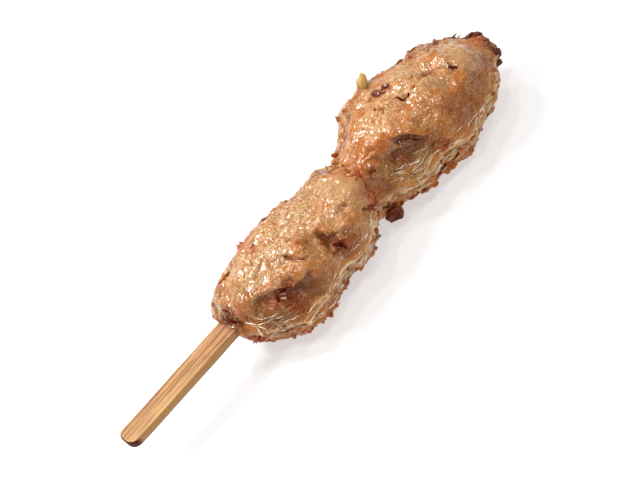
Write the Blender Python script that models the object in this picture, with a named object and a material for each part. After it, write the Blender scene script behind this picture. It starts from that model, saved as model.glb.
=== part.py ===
"""A grilled mince skewer: two pressed lumps of minced meat on a flat bamboo stick.

The skewer lies on a table. X runs along the stick from its butt to its point, Y runs
across it and Z is up. Each lump is threaded on the stick through a slot of its own, and
its belly is flat where it rests on the table at Z = 0.
"""

import math
import random
from dataclasses import dataclass

import bmesh
import bpy
from mathutils import Euler, Matrix, Vector, noise

MM = 0.001

# Bamboo stick
STICK_START = -90.5 * MM
STICK_END = 86.5 * MM
STICK_WIDTH = 8.2 * MM
STICK_THICKNESS = 3.4 * MM
STICK_HEIGHT = 17.0 * MM
BUTT_FRONT_RADIUS = 3.7 * MM
BUTT_BACK_RADIUS = 2.4 * MM
POINT_LENGTH = 22.0 * MM
POINT_WIDTH = 2.0 * MM
STICK_EDGE = 0.35 * MM
STICK_EDGE_FROM = 60
BUTT_ARC_STEPS = 6

# Play between the meat and the stick, and between the two lumps
PLAY = 0.3 * MM
NECK = 21.7 * MM

# Form of both lumps
SKIN_SUBDIVISIONS = 5
END_POWER = 3.0
RING_POWER = 2.15
BELLY_PRESS = 2.2 * MM

# Relief of the mince: how far apart its forms lie, and how high they stand
FOLD_SPACING = 15.0 * MM
FOLD_HEIGHT = 1.3 * MM
CLUMP_SPACING = 5.6 * MM
CLUMP_HEIGHT = 1.5 * MM
CLUMP_SUNK = 0.6
GRAIN_SPACING = 3.0 * MM
GRAIN_HEIGHT = 0.35 * MM

# The lip round the widest line, where the browned top overhangs the craggy underside. It
# starts and is full where these shares of the way from the stick's middle line go sideways.
LIP_DROP = 0.5 * MM
LIP_WANDER = 2.2 * MM
LIP_HEIGHT = 1.3 * MM
LIP_SOFTNESS = 1.5 * MM
LIP_FROM = 0.35
LIP_FULL = 0.85
LIP_SIDE_SHIFT = 3
TERRACE_SPACING = 4.6 * MM
TERRACE_FADE = 5.5 * MM

# Crumbs of mince that stand out along the lip and the underside, in a band from just above
# the stick's height to well below it, in degrees round the stick
CRUMBS_A_LUMP = 34
CRUMB_SMALLEST = 0.9 * MM
CRUMB_LARGEST = 2.0 * MM
CRUMB_STRETCH = 1.4
CRUMB_LEAN = 0.5
CRUMB_START_GAP = 6 * MM
CRUMB_END_GAP = 4 * MM
CRUMB_HIGHEST = -4
CRUMB_LOWEST = 34

# How uneven a scrap's points are, and where a lump's shading breaks
SCRAP_LEAST = 0.82
SCRAP_MOST = 1.12
SHARP_FROM = 55

MEAT_COLOUR = (0.52, 0.28, 0.13, 1)
MEAT_ROUGHNESS = 0.38
BAMBOO_COLOUR = (0.72, 0.46, 0.21, 1)
BAMBOO_ROUGHNESS = 0.55


@dataclass(frozen=True)
class Mark:
    """A knoll, or with a negative height a hollow, in a lump's skin.

    angle is in degrees round the stick: 0 is the back, 90 the top, 180 the front.
    """

    x: float
    angle: float
    reach: float
    height: float


@dataclass(frozen=True)
class Flake:
    """A loose scrap of the mince that shows, fused to a lump's skin.

    radius is how far its middle is from the stick's middle line. size is its length
    along the stick, its thickness round the stick and its height away from it, and
    lean tips its top towards the point of the stick.
    """

    x: float
    angle: float
    radius: float
    size: tuple
    lean: float = 0.0


@dataclass(frozen=True)
class Lump:
    """One pressed lump, with its half widths measured from the stick's middle line.

    The swells say how full each side is along the lump: pairs of a place, from 0 at its
    start to 1 at its end, and a share of the half width.
    """

    name: str
    start: float
    end: float
    back: float
    front: float
    top: float
    back_swell: tuple
    front_swell: tuple
    seed: int
    marks: tuple
    flakes: tuple
    lowest_x: float = -math.inf
    highest_x: float = math.inf


NEAR_LUMP = Lump(
    name="near_lump",
    start=-41.5 * MM,
    end=26.7 * MM,
    back=17.2 * MM,
    front=20.3 * MM,
    top=14.3 * MM,
    back_swell=(
        (0.0, 1.5), (0.12, 1.03), (0.26, 0.9), (0.37, 0.96), (0.51, 0.98),
        (0.66, 0.84), (0.77, 0.92), (0.87, 1.2), (1.0, 1.08),
    ),
    front_swell=(
        (0.0, 0.56), (0.12, 0.84), (0.26, 1.13), (0.37, 1.08), (0.57, 0.92),
        (0.66, 1.0), (0.77, 0.94), (0.86, 0.8), (1.0, 1.0),
    ),
    seed=11,
    highest_x=NECK - PLAY / 2,
    marks=(
        Mark(15.9 * MM, 124, 8.0 * MM, 0.8 * MM),
        Mark(0.1 * MM, 153, 2.8 * MM, -1.8 * MM),
        Mark(-2.6 * MM, 140, 2.4 * MM, -1.1 * MM),
        Mark(-8.6 * MM, 128, 3.8 * MM, 1.1 * MM),
        Mark(6.0 * MM, 156, 3.6 * MM, 1.1 * MM),
        Mark(-7.4 * MM, 160, 3.6 * MM, 1.2 * MM),
        Mark(-12.0 * MM, 150, 3.6 * MM, 1.3 * MM),
        Mark(-18.0 * MM, 142, 3.6 * MM, 1.1 * MM),
        Mark(-21.5 * MM, 151, 4.6 * MM, -1.7 * MM),
        Mark(-17.5 * MM, 168, 5.5 * MM, -1.7 * MM),
        Mark(-12.5 * MM, 176, 3.0 * MM, 0.9 * MM),
        Mark(-32.8 * MM, 121, 5.0 * MM, 0.9 * MM),
        Mark(-33.5 * MM, 155, 5.0 * MM, 0.9 * MM),
        Mark(8.0 * MM, 172, 4.0 * MM, 0.7 * MM),
        Mark(-20.0 * MM, 75, 6.0 * MM, 0.7 * MM),
        Mark(3.0 * MM, 60, 6.0 * MM, -0.6 * MM),
    ),
    flakes=(
        Flake(-18.5 * MM, 46, 15.6 * MM, (2.4 * MM, 1.8 * MM, 3.0 * MM), -10),
        Flake(-37.0 * MM, 200, 10.4 * MM, (4.2 * MM, 1.8 * MM, 5.0 * MM), -40),
        Flake(15.0 * MM, 222, 15.6 * MM, (2.6 * MM, 1.6 * MM, 3.0 * MM), 0),
        Flake(-12.0 * MM, 224, 19.0 * MM, (7.0 * MM, 2.0 * MM, 2.6 * MM), 0),
    ),
)

FAR_LUMP = Lump(
    name="far_lump",
    start=16.7 * MM,
    end=89.9 * MM,
    back=21.8 * MM,
    front=19.6 * MM,
    top=16.6 * MM,
    back_swell=(
        (0.0, 0.84), (0.15, 0.78), (0.24, 0.86), (0.29, 1.1), (0.43, 1.11), (0.56, 0.96),
        (0.66, 0.9), (0.75, 0.9), (0.84, 0.74), (0.885, 0.65), (0.93, 0.61), (1.0, 0.7),
    ),
    front_swell=(
        (0.0, 1.0), (0.15, 0.82), (0.24, 0.97), (0.29, 0.96), (0.43, 0.87), (0.56, 1.08),
        (0.66, 0.95), (0.75, 0.89), (0.84, 0.84), (0.885, 0.69), (0.93, 0.64), (1.0, 0.9),
    ),
    seed=42,
    lowest_x=NECK + PLAY / 2,
    marks=(
        Mark(72.8 * MM, 125, 9.0 * MM, 0.9 * MM),
        Mark(49.7 * MM, 69, 2.3 * MM, -1.4 * MM),
        Mark(51.3 * MM, 104, 2.0 * MM, -0.9 * MM),
        Mark(40.6 * MM, 124, 3.6 * MM, 1.3 * MM),
        Mark(45.0 * MM, 133, 3.6 * MM, 1.5 * MM),
        Mark(48.6 * MM, 145, 3.6 * MM, 1.3 * MM),
        Mark(38.1 * MM, 141, 5.0 * MM, -2.0 * MM),
        Mark(33.4 * MM, 152, 6.0 * MM, -1.9 * MM),
        Mark(42.0 * MM, 162, 6.0 * MM, -1.8 * MM),
        Mark(53.0 * MM, 120, 4.5 * MM, 0.7 * MM),
        Mark(33.5 * MM, 80, 5.5 * MM, 1.0 * MM),
        Mark(49.5 * MM, 177, 4.0 * MM, 1.1 * MM),
        Mark(70.8 * MM, 122, 1.8 * MM, -1.3 * MM),
        Mark(27.0 * MM, 112, 4.0 * MM, 0.8 * MM),
        Mark(60.0 * MM, 60, 7.0 * MM, -0.8 * MM),
    ),
    flakes=(
        Flake(25.0 * MM, 222, 14.6 * MM, (6.6 * MM, 5.4 * MM, 7.6 * MM), 0),
        Flake(48.6 * MM, 46, 21.8 * MM, (4.0 * MM, 1.6 * MM, 10.0 * MM), 46),
        Flake(88.0 * MM, 60, 3.4 * MM, (4.4 * MM, 2.8 * MM, 2.8 * MM), 0),
        Flake(87.6 * MM, 223, 6.2 * MM, (4.0 * MM, 2.4 * MM, 3.0 * MM), 0),
        Flake(49.5 * MM, 217, 18.8 * MM, (12.0 * MM, 2.2 * MM, 3.2 * MM), 0),
        Flake(32.0 * MM, 223, 15.8 * MM, (4.4 * MM, 2.0 * MM, 2.8 * MM), 0),
        Flake(37.5 * MM, 226, 17.4 * MM, (3.6 * MM, 2.0 * MM, 2.6 * MM), 0),
        Flake(23.6 * MM, 60, 11.4 * MM, (3.4 * MM, 2.0 * MM, 3.4 * MM), -25),
        Flake(76.0 * MM, 50, 13.2 * MM, (2.0 * MM, 1.8 * MM, 2.6 * MM), 0),
    ),
)


def remove_startup_objects():
    """Empties the scene that Blender opens with."""
    for obj in list(bpy.data.objects):
        bpy.data.objects.remove(obj, do_unlink=True)


def plain_material(name, colour, roughness):
    """A Principled BSDF of one colour."""
    material = bpy.data.materials.new(name)
    material.use_nodes = True
    shader = material.node_tree.nodes["Principled BSDF"]
    shader.inputs["Base Color"].default_value = colour
    shader.inputs["Roughness"].default_value = roughness
    shader.inputs["Metallic"].default_value = 0.0
    return material


def object_from_bmesh(name, bm, material=None):
    """Links a new object that holds the bmesh, and frees the bmesh."""
    bmesh.ops.recalc_face_normals(bm, faces=bm.faces)
    mesh = bpy.data.meshes.new(name)
    bm.to_mesh(mesh)
    bm.free()
    if material:
        mesh.materials.append(material)
    obj = bpy.data.objects.new(name, mesh)
    bpy.context.scene.collection.objects.link(obj)
    return obj


def smoothstep(share):
    """Eases a share between 0 and 1."""
    share = min(max(share, 0.0), 1.0)
    return share * share * (3 - 2 * share)


def corner_arc(centre, radius, first_degrees, last_degrees):
    """Points along an arc of the stick's outline."""
    points = []
    for step in range(BUTT_ARC_STEPS + 1):
        angle = math.radians(first_degrees + (last_degrees - first_degrees) * step / BUTT_ARC_STEPS)
        points.append((centre[0] + radius * math.cos(angle), centre[1] + radius * math.sin(angle)))
    return points


def stick_outline(grow):
    """Outline of the flat stick seen from above, grown outwards by a margin."""
    half = STICK_WIDTH / 2 + grow
    point_half = POINT_WIDTH / 2 + grow
    butt = STICK_START - grow
    front_radius = BUTT_FRONT_RADIUS + grow
    back_radius = BUTT_BACK_RADIUS + grow
    outline = corner_arc((butt + back_radius, half - back_radius), back_radius, 90, 180)
    outline += corner_arc((butt + front_radius, front_radius - half), front_radius, 180, 270)
    outline.append((STICK_END - POINT_LENGTH, -half))
    outline.append((STICK_END + grow - point_half / 2, -point_half))
    outline.append((STICK_END + grow, -point_half / 2))
    outline.append((STICK_END + grow, point_half / 2))
    outline.append((STICK_END + grow - point_half / 2, point_half))
    outline.append((STICK_END - POINT_LENGTH, half))
    return outline


def stick_solid(name, grow, material=None):
    """The stick as a flat bar, grown by a margin on every side."""
    half = STICK_THICKNESS / 2 + grow
    bm = bmesh.new()
    corners = [bm.verts.new((x, y, -half)) for x, y in stick_outline(grow)]
    bottom = bm.faces.new(corners)
    lifted = bmesh.ops.extrude_face_region(bm, geom=[bottom])
    top = [item for item in lifted["geom"] if isinstance(item, bmesh.types.BMVert)]
    bmesh.ops.translate(bm, verts=top, vec=(0, 0, 2 * half))
    return object_from_bmesh(name, bm, material)


def make_stick(material):
    """The bamboo stick, with its cut edges eased."""
    stick = stick_solid("stick", 0.0, material)
    ease = stick.modifiers.new("eased_edges", "BEVEL")
    ease.width = STICK_EDGE
    ease.segments = 2
    ease.limit_method = "ANGLE"
    ease.angle_limit = math.radians(STICK_EDGE_FROM)
    return stick


def swell_share(swell, place):
    """How full one side of a lump is at a place along it, as a share of its widest."""
    for (first, first_share), (last, last_share) in zip(swell, swell[1:]):
        if place <= last:
            return first_share + (last_share - first_share) * smoothstep((place - first) / (last - first))
    return swell[-1][1]


def ring_reach(lump, x, angle):
    """Distance from the stick's middle line to the plain skin at an angle round it."""
    place = (x - lump.start) / (lump.end - lump.start)
    back_share = swell_share(lump.back_swell, place)
    front_share = swell_share(lump.front_swell, place)
    side = lump.back * back_share if math.cos(angle) > 0 else lump.front * front_share
    if math.sin(angle) > 0:
        height = lump.top * (back_share + front_share) / 2
    else:
        height = (STICK_HEIGHT + BELLY_PRESS) * min(back_share, front_share)
    across = (abs(math.cos(angle)) / side) ** RING_POWER
    upright = (abs(math.sin(angle)) / height) ** RING_POWER
    return (across + upright) ** (-1 / RING_POWER)


def plain_point(lump, x, angle):
    """A point of the lump's skin before any relief, from the stick's middle line."""
    half = (lump.end - lump.start) / 2
    along = (x - lump.start) / half - 1
    blunt = math.sqrt(max(0.0, 1 - abs(along) ** END_POWER))
    reach = blunt * ring_reach(lump, x, angle)
    return Vector((x, reach * math.cos(angle), reach * math.sin(angle)))


def outwards(lump, point):
    """Unit direction straight out of the plain skin."""
    half = (lump.end - lump.start) / 2
    middle = (lump.end + lump.start) / 2
    side = lump.back if point.y > 0 else lump.front
    height = lump.top if point.z > 0 else STICK_HEIGHT
    return Vector(((point.x - middle) / half**2, point.y / side**2, point.z / height**2)).normalized()


def clump_relief(spot):
    """Rounded clumps with creases between them, from 0 in a crease to 1 on a crown."""
    distances, _ = noise.voronoi(spot)
    return 1 - min(1.0, distances[0]) ** 2


def lip_relief(point, lump):
    """The overhanging lip along both sides, and the terraces that fade out below it."""
    sideways = abs(point.y) / max(math.hypot(point.y, point.z), MM)
    side = math.copysign(LIP_SIDE_SHIFT, point.y)
    wander = noise.noise(Vector((point.x / FOLD_SPACING, lump.seed, side)))
    below = -LIP_DROP + LIP_WANDER * wander - point.z
    if below < 0:
        wave = math.exp(-((below / LIP_SOFTNESS) ** 2))
    else:
        wave = math.cos(math.tau * below / TERRACE_SPACING) * math.exp(-below / TERRACE_FADE)
    return LIP_HEIGHT * wave * smoothstep((sideways - LIP_FROM) / (LIP_FULL - LIP_FROM))


def relief(lump, point):
    """How far the skin stands out from the plain form at a point of it."""
    shift = Vector((lump.seed, 2 * lump.seed, -lump.seed))
    height = FOLD_HEIGHT * noise.noise(point / FOLD_SPACING + shift)
    height += CLUMP_HEIGHT * (clump_relief(point / CLUMP_SPACING + shift) - CLUMP_SUNK)
    height += GRAIN_HEIGHT * noise.noise(point / GRAIN_SPACING + shift)
    height += lip_relief(point, lump)
    for mark in lump.marks:
        centre = plain_point(lump, mark.x, math.radians(mark.angle))
        height += mark.height * math.exp(-(((point - centre).length / mark.reach) ** 2))
    return height


def skin_point(lump, direction):
    """A point of the finished skin, for a unit direction from the lump's middle."""
    middle = (lump.end + lump.start) / 2
    half = (lump.end - lump.start) / 2
    point = plain_point(lump, middle + half * direction.x, math.atan2(direction.z, direction.y))
    point += outwards(lump, point) * relief(lump, point)
    point.x = min(max(point.x, lump.lowest_x), lump.highest_x)
    point.z = max(point.z, -STICK_HEIGHT)
    return point


def lump_skin(lump):
    """The lump's own body as one closed, evenly meshed skin."""
    bm = bmesh.new()
    bmesh.ops.create_icosphere(bm, subdivisions=SKIN_SUBDIVISIONS, radius=1.0)
    for vertex in bm.verts:
        vertex.co = skin_point(lump, vertex.co.normalized())
    return object_from_bmesh(lump.name, bm)


def scrap(name, centre, size, turn, chance):
    """A small uneven scrap of mince: a squashed ball of twenty faces."""
    bm = bmesh.new()
    bmesh.ops.create_icosphere(bm, subdivisions=1, radius=0.5)
    for vertex in bm.verts:
        vertex.co *= chance.uniform(SCRAP_LEAST, SCRAP_MOST)
    bmesh.ops.scale(bm, vec=size, verts=bm.verts)
    bmesh.ops.transform(bm, matrix=Matrix.Translation(centre) @ turn, verts=bm.verts)
    return object_from_bmesh(name, bm)


def round_stick(angle):
    """Turns a scrap so that its height points away from the stick at this angle."""
    return Matrix.Rotation(angle - math.pi / 2, 4, "X")


def named_flake(lump, flake, chance):
    """One of the large scraps that show at the lump's outline."""
    angle = math.radians(flake.angle)
    centre = Vector((flake.x, flake.radius * math.cos(angle), flake.radius * math.sin(angle)))
    turn = round_stick(angle) @ Matrix.Rotation(math.radians(flake.lean), 4, "Y")
    return scrap(f"{lump.name}_flake", centre, flake.size, turn, chance)


def rim_crumb(lump, chance):
    """A small crumb somewhere along the lip or on the craggy side below it."""
    x = chance.uniform(lump.start + CRUMB_START_GAP, lump.end - CRUMB_END_GAP)
    side = chance.choice((180, 360))
    drop = chance.uniform(CRUMB_HIGHEST, CRUMB_LOWEST)
    angle = math.radians(side + drop if side == 180 else side - drop)
    point = plain_point(lump, x, angle)
    point += outwards(lump, point) * relief(lump, point)
    size = [chance.uniform(CRUMB_SMALLEST, CRUMB_LARGEST) for _ in range(3)]
    size[0] *= CRUMB_STRETCH
    lean = chance.uniform(-CRUMB_LEAN, CRUMB_LEAN)
    turn = round_stick(angle) @ Euler((0, lean, 0)).to_matrix().to_4x4()
    return scrap(f"{lump.name}_crumb", point, size, turn, chance)


def keep_in_bounds(piece, lump):
    """Trims a scrap at the neck between the lumps and at the table."""
    for vertex in piece.data.vertices:
        vertex.co.x = min(max(vertex.co.x, lump.lowest_x), lump.highest_x)
        vertex.co.z = max(vertex.co.z, -STICK_HEIGHT)


def join_scraps(body, scraps):
    """Fuses the scraps into the lump's body and removes them."""
    group = bpy.data.collections.new(f"{body.name}_scraps")
    bpy.context.scene.collection.children.link(group)
    for piece in scraps:
        bpy.context.scene.collection.objects.unlink(piece)
        group.objects.link(piece)
    union = body.modifiers.new("scraps", "BOOLEAN")
    union.operation = "UNION"
    union.operand_type = "COLLECTION"
    union.collection = group
    union.solver = "EXACT"
    apply_modifiers(body)
    for piece in scraps:
        bpy.data.objects.remove(piece, do_unlink=True)
    bpy.data.collections.remove(group)


def cut_slot(body):
    """Cuts the slot that the stick runs through, with its play, and removes the cutter."""
    cutter = stick_solid("slot_cutter", PLAY)
    cut = body.modifiers.new("slot", "BOOLEAN")
    cut.operation = "DIFFERENCE"
    cut.object = cutter
    cut.solver = "EXACT"
    apply_modifiers(body)
    bpy.data.objects.remove(cutter, do_unlink=True)


def apply_modifiers(obj):
    """Replaces an object's mesh by the result of its modifiers."""
    bpy.context.view_layer.update()
    graph = bpy.context.evaluated_depsgraph_get()
    mesh = bpy.data.meshes.new_from_object(obj.evaluated_get(graph))
    obj.modifiers.clear()
    obj.data = mesh


def largest_body(obj):
    """Drops any loose scrap that the joining left beside the lump."""
    bm = bmesh.new()
    bm.from_mesh(obj.data)
    left, bodies = set(bm.verts), []
    while left:
        body, edge = set(), [left.pop()]
        while edge:
            vertex = edge.pop()
            body.add(vertex)
            for link in vertex.link_edges:
                other = link.other_vert(vertex)
                if other in left:
                    left.remove(other)
                    edge.append(other)
        bodies.append(body)
    keep = max(bodies, key=len)
    bmesh.ops.delete(bm, geom=[v for v in bm.verts if v not in keep], context="VERTS")
    bm.to_mesh(obj.data)
    bm.free()


def make_lump(lump, material):
    """One whole lump: its skin, the scraps fused to it, and the slot for the stick."""
    chance = random.Random(lump.seed)
    body = lump_skin(lump)
    scraps = [named_flake(lump, flake, chance) for flake in lump.flakes]
    scraps += [rim_crumb(lump, chance) for _ in range(CRUMBS_A_LUMP)]
    for piece in scraps:
        keep_in_bounds(piece, lump)
    join_scraps(body, scraps)
    cut_slot(body)
    largest_body(body)
    body.data.materials.clear()
    body.data.materials.append(material)
    body.data.shade_smooth()
    body.data.set_sharp_from_angle(angle=math.radians(SHARP_FROM))
    return body


def stand_at_origin(objects):
    """Moves the objects so that the origin is under their middle, on the table."""
    bpy.context.view_layer.update()
    graph = bpy.context.evaluated_depsgraph_get()
    corners = [Vector(c) for obj in objects for c in obj.evaluated_get(graph).bound_box]
    low = Vector(min(corner[axis] for corner in corners) for axis in range(3))
    high = Vector(max(corner[axis] for corner in corners) for axis in range(3))
    for obj in objects:
        obj.location = (-(low.x + high.x) / 2, -(low.y + high.y) / 2, -low.z)


def main():
    """Builds the stick and both lumps."""
    remove_startup_objects()
    meat = plain_material("grilled_mince", MEAT_COLOUR, MEAT_ROUGHNESS)
    bamboo = plain_material("bamboo", BAMBOO_COLOUR, BAMBOO_ROUGHNESS)
    stick = make_stick(bamboo)
    near = make_lump(NEAR_LUMP, meat)
    far = make_lump(FAR_LUMP, meat)
    stand_at_origin([stick, near, far])


main()
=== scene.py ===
"""Looks of a grilled mince skewer: two pressed lumps of minced meat on a flat bamboo stick.

Places on the lumps are given as on the solids: a distance along the stick in millimetres,
an angle round it in degrees (0 is the back, 90 the top, 180 the front) and a distance from
the stick's middle line in millimetres.
"""

import logging
import math
import random
from dataclasses import dataclass, field
from enum import Enum

import bmesh
import bpy
import numpy as np
from mathutils import Matrix, Vector, noise
from mathutils.bvhtree import BVHTree


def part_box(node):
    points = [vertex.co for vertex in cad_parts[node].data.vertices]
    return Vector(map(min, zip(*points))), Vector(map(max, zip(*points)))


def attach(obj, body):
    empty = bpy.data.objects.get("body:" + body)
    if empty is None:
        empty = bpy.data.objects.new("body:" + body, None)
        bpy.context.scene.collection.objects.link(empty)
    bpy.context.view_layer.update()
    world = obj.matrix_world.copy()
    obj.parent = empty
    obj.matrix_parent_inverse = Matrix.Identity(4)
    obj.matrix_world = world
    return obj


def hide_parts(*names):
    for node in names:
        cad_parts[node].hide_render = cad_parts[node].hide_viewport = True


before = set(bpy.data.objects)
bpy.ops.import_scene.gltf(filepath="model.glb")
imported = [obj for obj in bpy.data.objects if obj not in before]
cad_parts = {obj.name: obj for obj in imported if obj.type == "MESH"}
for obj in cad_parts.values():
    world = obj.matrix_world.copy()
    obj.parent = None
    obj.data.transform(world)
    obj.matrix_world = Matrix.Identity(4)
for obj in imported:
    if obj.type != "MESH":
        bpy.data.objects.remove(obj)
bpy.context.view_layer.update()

LOG = logging.getLogger("skewer")
MM = 0.001

# Along the stick, in millimetres from the origin: the handle's end and the neck between the lumps.
HANDLE_END = -90.5
NECK = 21.7

# A distance from the stick's middle line, in millimetres, that is outside both lumps.
OUTSIDE = 40

# The most triangles that a lump's skin keeps.
MOST_TRIANGLES = 190_000

STICK_LOW, STICK_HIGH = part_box("stick")
STICK_MIDDLE = (STICK_LOW + STICK_HIGH) / 2
ORIGIN = Vector((STICK_LOW.x - HANDLE_END * MM, STICK_MIDDLE.y, STICK_MIDDLE.z))

Colour = tuple[float, float, float]
Rgba = tuple[float, float, float, float]
Course = tuple[tuple[float, float], ...]
Socket = bpy.types.NodeSocket


def place(x: float, angle: float, radius: float) -> Vector:
    """A point near the stick, from its place in millimetres and degrees.

    Args:
        x: Distance along the stick, in millimetres.
        angle: Angle round the stick, in degrees.
        radius: Distance from the stick's middle line, in millimetres.

    Returns:
        The point in the frame, in metres.
    """
    turn = math.radians(angle)
    return ORIGIN + Vector((x, radius * math.cos(turn), radius * math.sin(turn))) * MM


def linear(red: int, green: int, blue: int) -> Rgba:
    """A colour given as it shows on screen, from 0 to 255, made linear for a shader.

    Args:
        red: Red share on screen.
        green: Green share on screen.
        blue: Blue share on screen.

    Returns:
        The linear colour with full alpha.
    """
    shares = []
    for value in (red, green, blue):
        share = value / 255
        shares.append(share / 12.92 if share <= 0.04045 else ((share + 0.055) / 1.055) ** 2.4)
    return (*shares, 1.0)


class Patch(Enum):
    """What a named place on a lump differs in."""

    SMOOTH = "smooth"
    AMBER = "amber"
    BROWN = "brown"
    CHAR = "char"
    OLIVE = "olive"
    RED = "red"
    CORAL = "coral"
    PALE = "pale"
    ONION = "onion"


@dataclass(frozen=True)
class Spot:
    """One named place on a lump: what differs, how far and how strongly, and its lift in mm."""

    kind: Patch
    x: float
    angle: float
    reach: float
    strength: float = 1.0
    lift: float = 0.0


def spots(kind: Patch, *rows: tuple[float, ...]) -> tuple[Spot, ...]:
    """Makes the spots of one kind, from rows of x, angle, reach, strength and lift."""
    return tuple(Spot(kind, *row) for row in rows)


class FoldKind(Enum):
    """How the surface runs across a fold's line."""

    LEDGE = "stands up on the right of the line and drops away on its left"
    CREASE = "the same on both sides"


@dataclass(frozen=True)
class Fold:
    """A ledge, ridge or crease along a line over the surface, given by (x, angle) places.

    Its reach, rise and fall are in mm, and so are its unevenness and the width of a ledge's edge.
    It fades over a share of its line at each end.
    """

    kind: FoldKind
    line: Course
    reach: float
    rise: float = 0.0
    fall: float = 0.0
    unevenness: float = 0.5
    fade: float = 0.2
    edge: float = 0.22

    def lift(self, points: np.ndarray, corners: list[Vector], ragged: np.ndarray) -> np.ndarray:
        """How far the fold moves each point outwards.

        Args:
            points: The surface's points, in metres.
            corners: The line's places on the surface.
            ragged: Noise at each point, which makes the line uneven.

        Returns:
            The lift in millimetres.
        """
        side, share = follow(points, corners)
        side = side / MM + self.unevenness * ragged
        ends = np.clip(np.minimum(share, 1 - share) / self.fade, 0, 1)
        ends = ends * ends * (3 - 2 * ends)
        bell = np.exp(-((side / self.reach) ** 2)) * ends
        if self.kind is FoldKind.CREASE:
            return (self.rise - self.fall) * bell
        left = 1 / (1 + np.exp(-side / self.edge))
        return bell * (self.rise * (1 - left) - self.fall * left)


@dataclass(frozen=True)
class Scrap:
    """A small uneven scrap that stands off a lump: its place, its sizes in mm and its direction.

    It stands on the lump's surface, or at a radius from the stick's middle line where it has one.
    Its middle is moved out along it and sunk by shares of its length and thickness, and its dents
    are pairs of a depth and a pitch.
    """

    kind: Patch
    x: float
    angle: float
    length: float
    width: float
    thick: float
    turn: float = 0.0
    lean: float = 0.0
    rough: float = 1.0
    radius: float | None = None
    moved_out: float = 0.24
    sunk: float = 0.12
    taper: float = 0.25
    dents: Course = ((0.42, 1.5), (0.26, 4.2))

    def outward(self) -> Vector:
        """The direction away from the stick at the scrap's place."""
        return (place(self.x, self.angle, 1) - place(self.x, self.angle, 0)).normalized()

    def mesh_points(self, ball: np.ndarray, ground: Vector, seed: float) -> np.ndarray:
        """Shapes a ball into the scrap, at its place.

        Args:
            ball: The points of a ball of radius 1.
            ground: The place on the lump's surface.
            seed: What makes the scrap differ from the others.

        Returns:
            The scrap's points in the frame, in metres.
        """
        outward = self.outward()
        around = Vector((1, 0, 0)).cross(outward).normalized()
        turn, lean = math.radians(self.turn), math.radians(self.lean)
        flat = math.cos(turn) * Vector((1, 0, 0)) + math.sin(turn) * around
        ahead = math.cos(lean) * flat + math.sin(lean) * outward
        across = ahead.cross(outward).normalized()
        upward = ahead.cross(across).normalized()
        out = ahead * self.moved_out * self.length * math.sin(lean)
        centre = ground + (out - outward * self.sunk * self.thick) * MM
        shift = Vector((seed * 3.7, -seed * 1.3, seed))
        uneven = np.array([
            sum(depth * noise.noise(Vector(p) * pitch + shift) for depth, pitch in self.dents) for p in ball
        ])
        local = ball * (1 + self.rough * uneven[:, None])
        slim = 1 - self.taper * local[:, 0]
        local *= np.array((self.length, self.width, self.thick)) / 2 * MM
        local[:, 1] *= slim
        axes = np.array((ahead, across, upward))
        return local @ axes + np.array(centre)


@dataclass(frozen=True)
class Strand:
    """A thin strand over a lump along (x, angle) places: fat, or burnt where it is dark; a few pale ones are
    painted highlights and one dark one a painted shadow.

    Its radius and its waves are in mm, and a turn is a millimetre round a lump, in degrees. The
    waves along and across it are read from one noise at two levels.
    """

    line: Course
    radius: float = 0.17
    dark: bool = False
    fat_waves: float = 0.45
    burnt_waves: float = 0.25
    turn: float = 3.3
    wave_levels: tuple[float, float] = (0.3, 9.7)
    steps_between: int = 9

    def steps(self, seed: float) -> list[tuple[float, float]]:
        """The strand's places at short steps, with small waves.

        Args:
            seed: What makes the strand's waves differ from the others'.

        Returns:
            Distance and angle of each step.
        """
        count = self.steps_between * (len(self.line) - 1) + 1
        shares = np.linspace(0, len(self.line) - 1, count)
        xs, angles = (np.interp(shares, range(len(self.line)), [at[i] for at in self.line]) for i in (0, 1))
        along, sideways = (
            [noise.noise(Vector((share * 2.2, seed * 1.7, level))) for share in shares]
            for level in self.wave_levels
        )
        bend = self.burnt_waves if self.dark else self.fat_waves
        return [
            (x + bend * wave, angle + self.turn * bend * sway)
            for x, angle, wave, sway in zip(xs, angles, along, sideways)
        ]


def follow(points: np.ndarray, corners: list[Vector]) -> tuple[np.ndarray, np.ndarray]:
    """Finds where each point lies beside a line.

    Args:
        points: The points, in metres.
        corners: The line's corners.

    Returns:
        The distance from the line, positive on its left seen from outside, and the share of
        the line's length walked where the point is closest.
    """
    line = np.array(corners)
    lengths = np.linalg.norm(np.diff(line, axis=0), axis=1)
    nearest = np.full(len(points), np.inf)
    side, share = np.zeros(len(points)), np.zeros(len(points))
    for index, length in enumerate(lengths):
        first = line[index]
        ahead = (line[index + 1] - first) / length
        walked = np.clip((points - first) @ ahead, 0, length)
        away = points - first - walked[:, None] * ahead
        outward = (first - np.array(ORIGIN)) * (0, 1, 1)
        distance = np.linalg.norm(away, axis=1)
        closer = distance < nearest
        nearest[closer] = distance[closer]
        side[closer] = (distance * np.sign(away @ np.cross(outward, ahead)))[closer]
        share[closer] = ((lengths[:index].sum() + walked) / lengths.sum())[closer]
    return side, share


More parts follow.
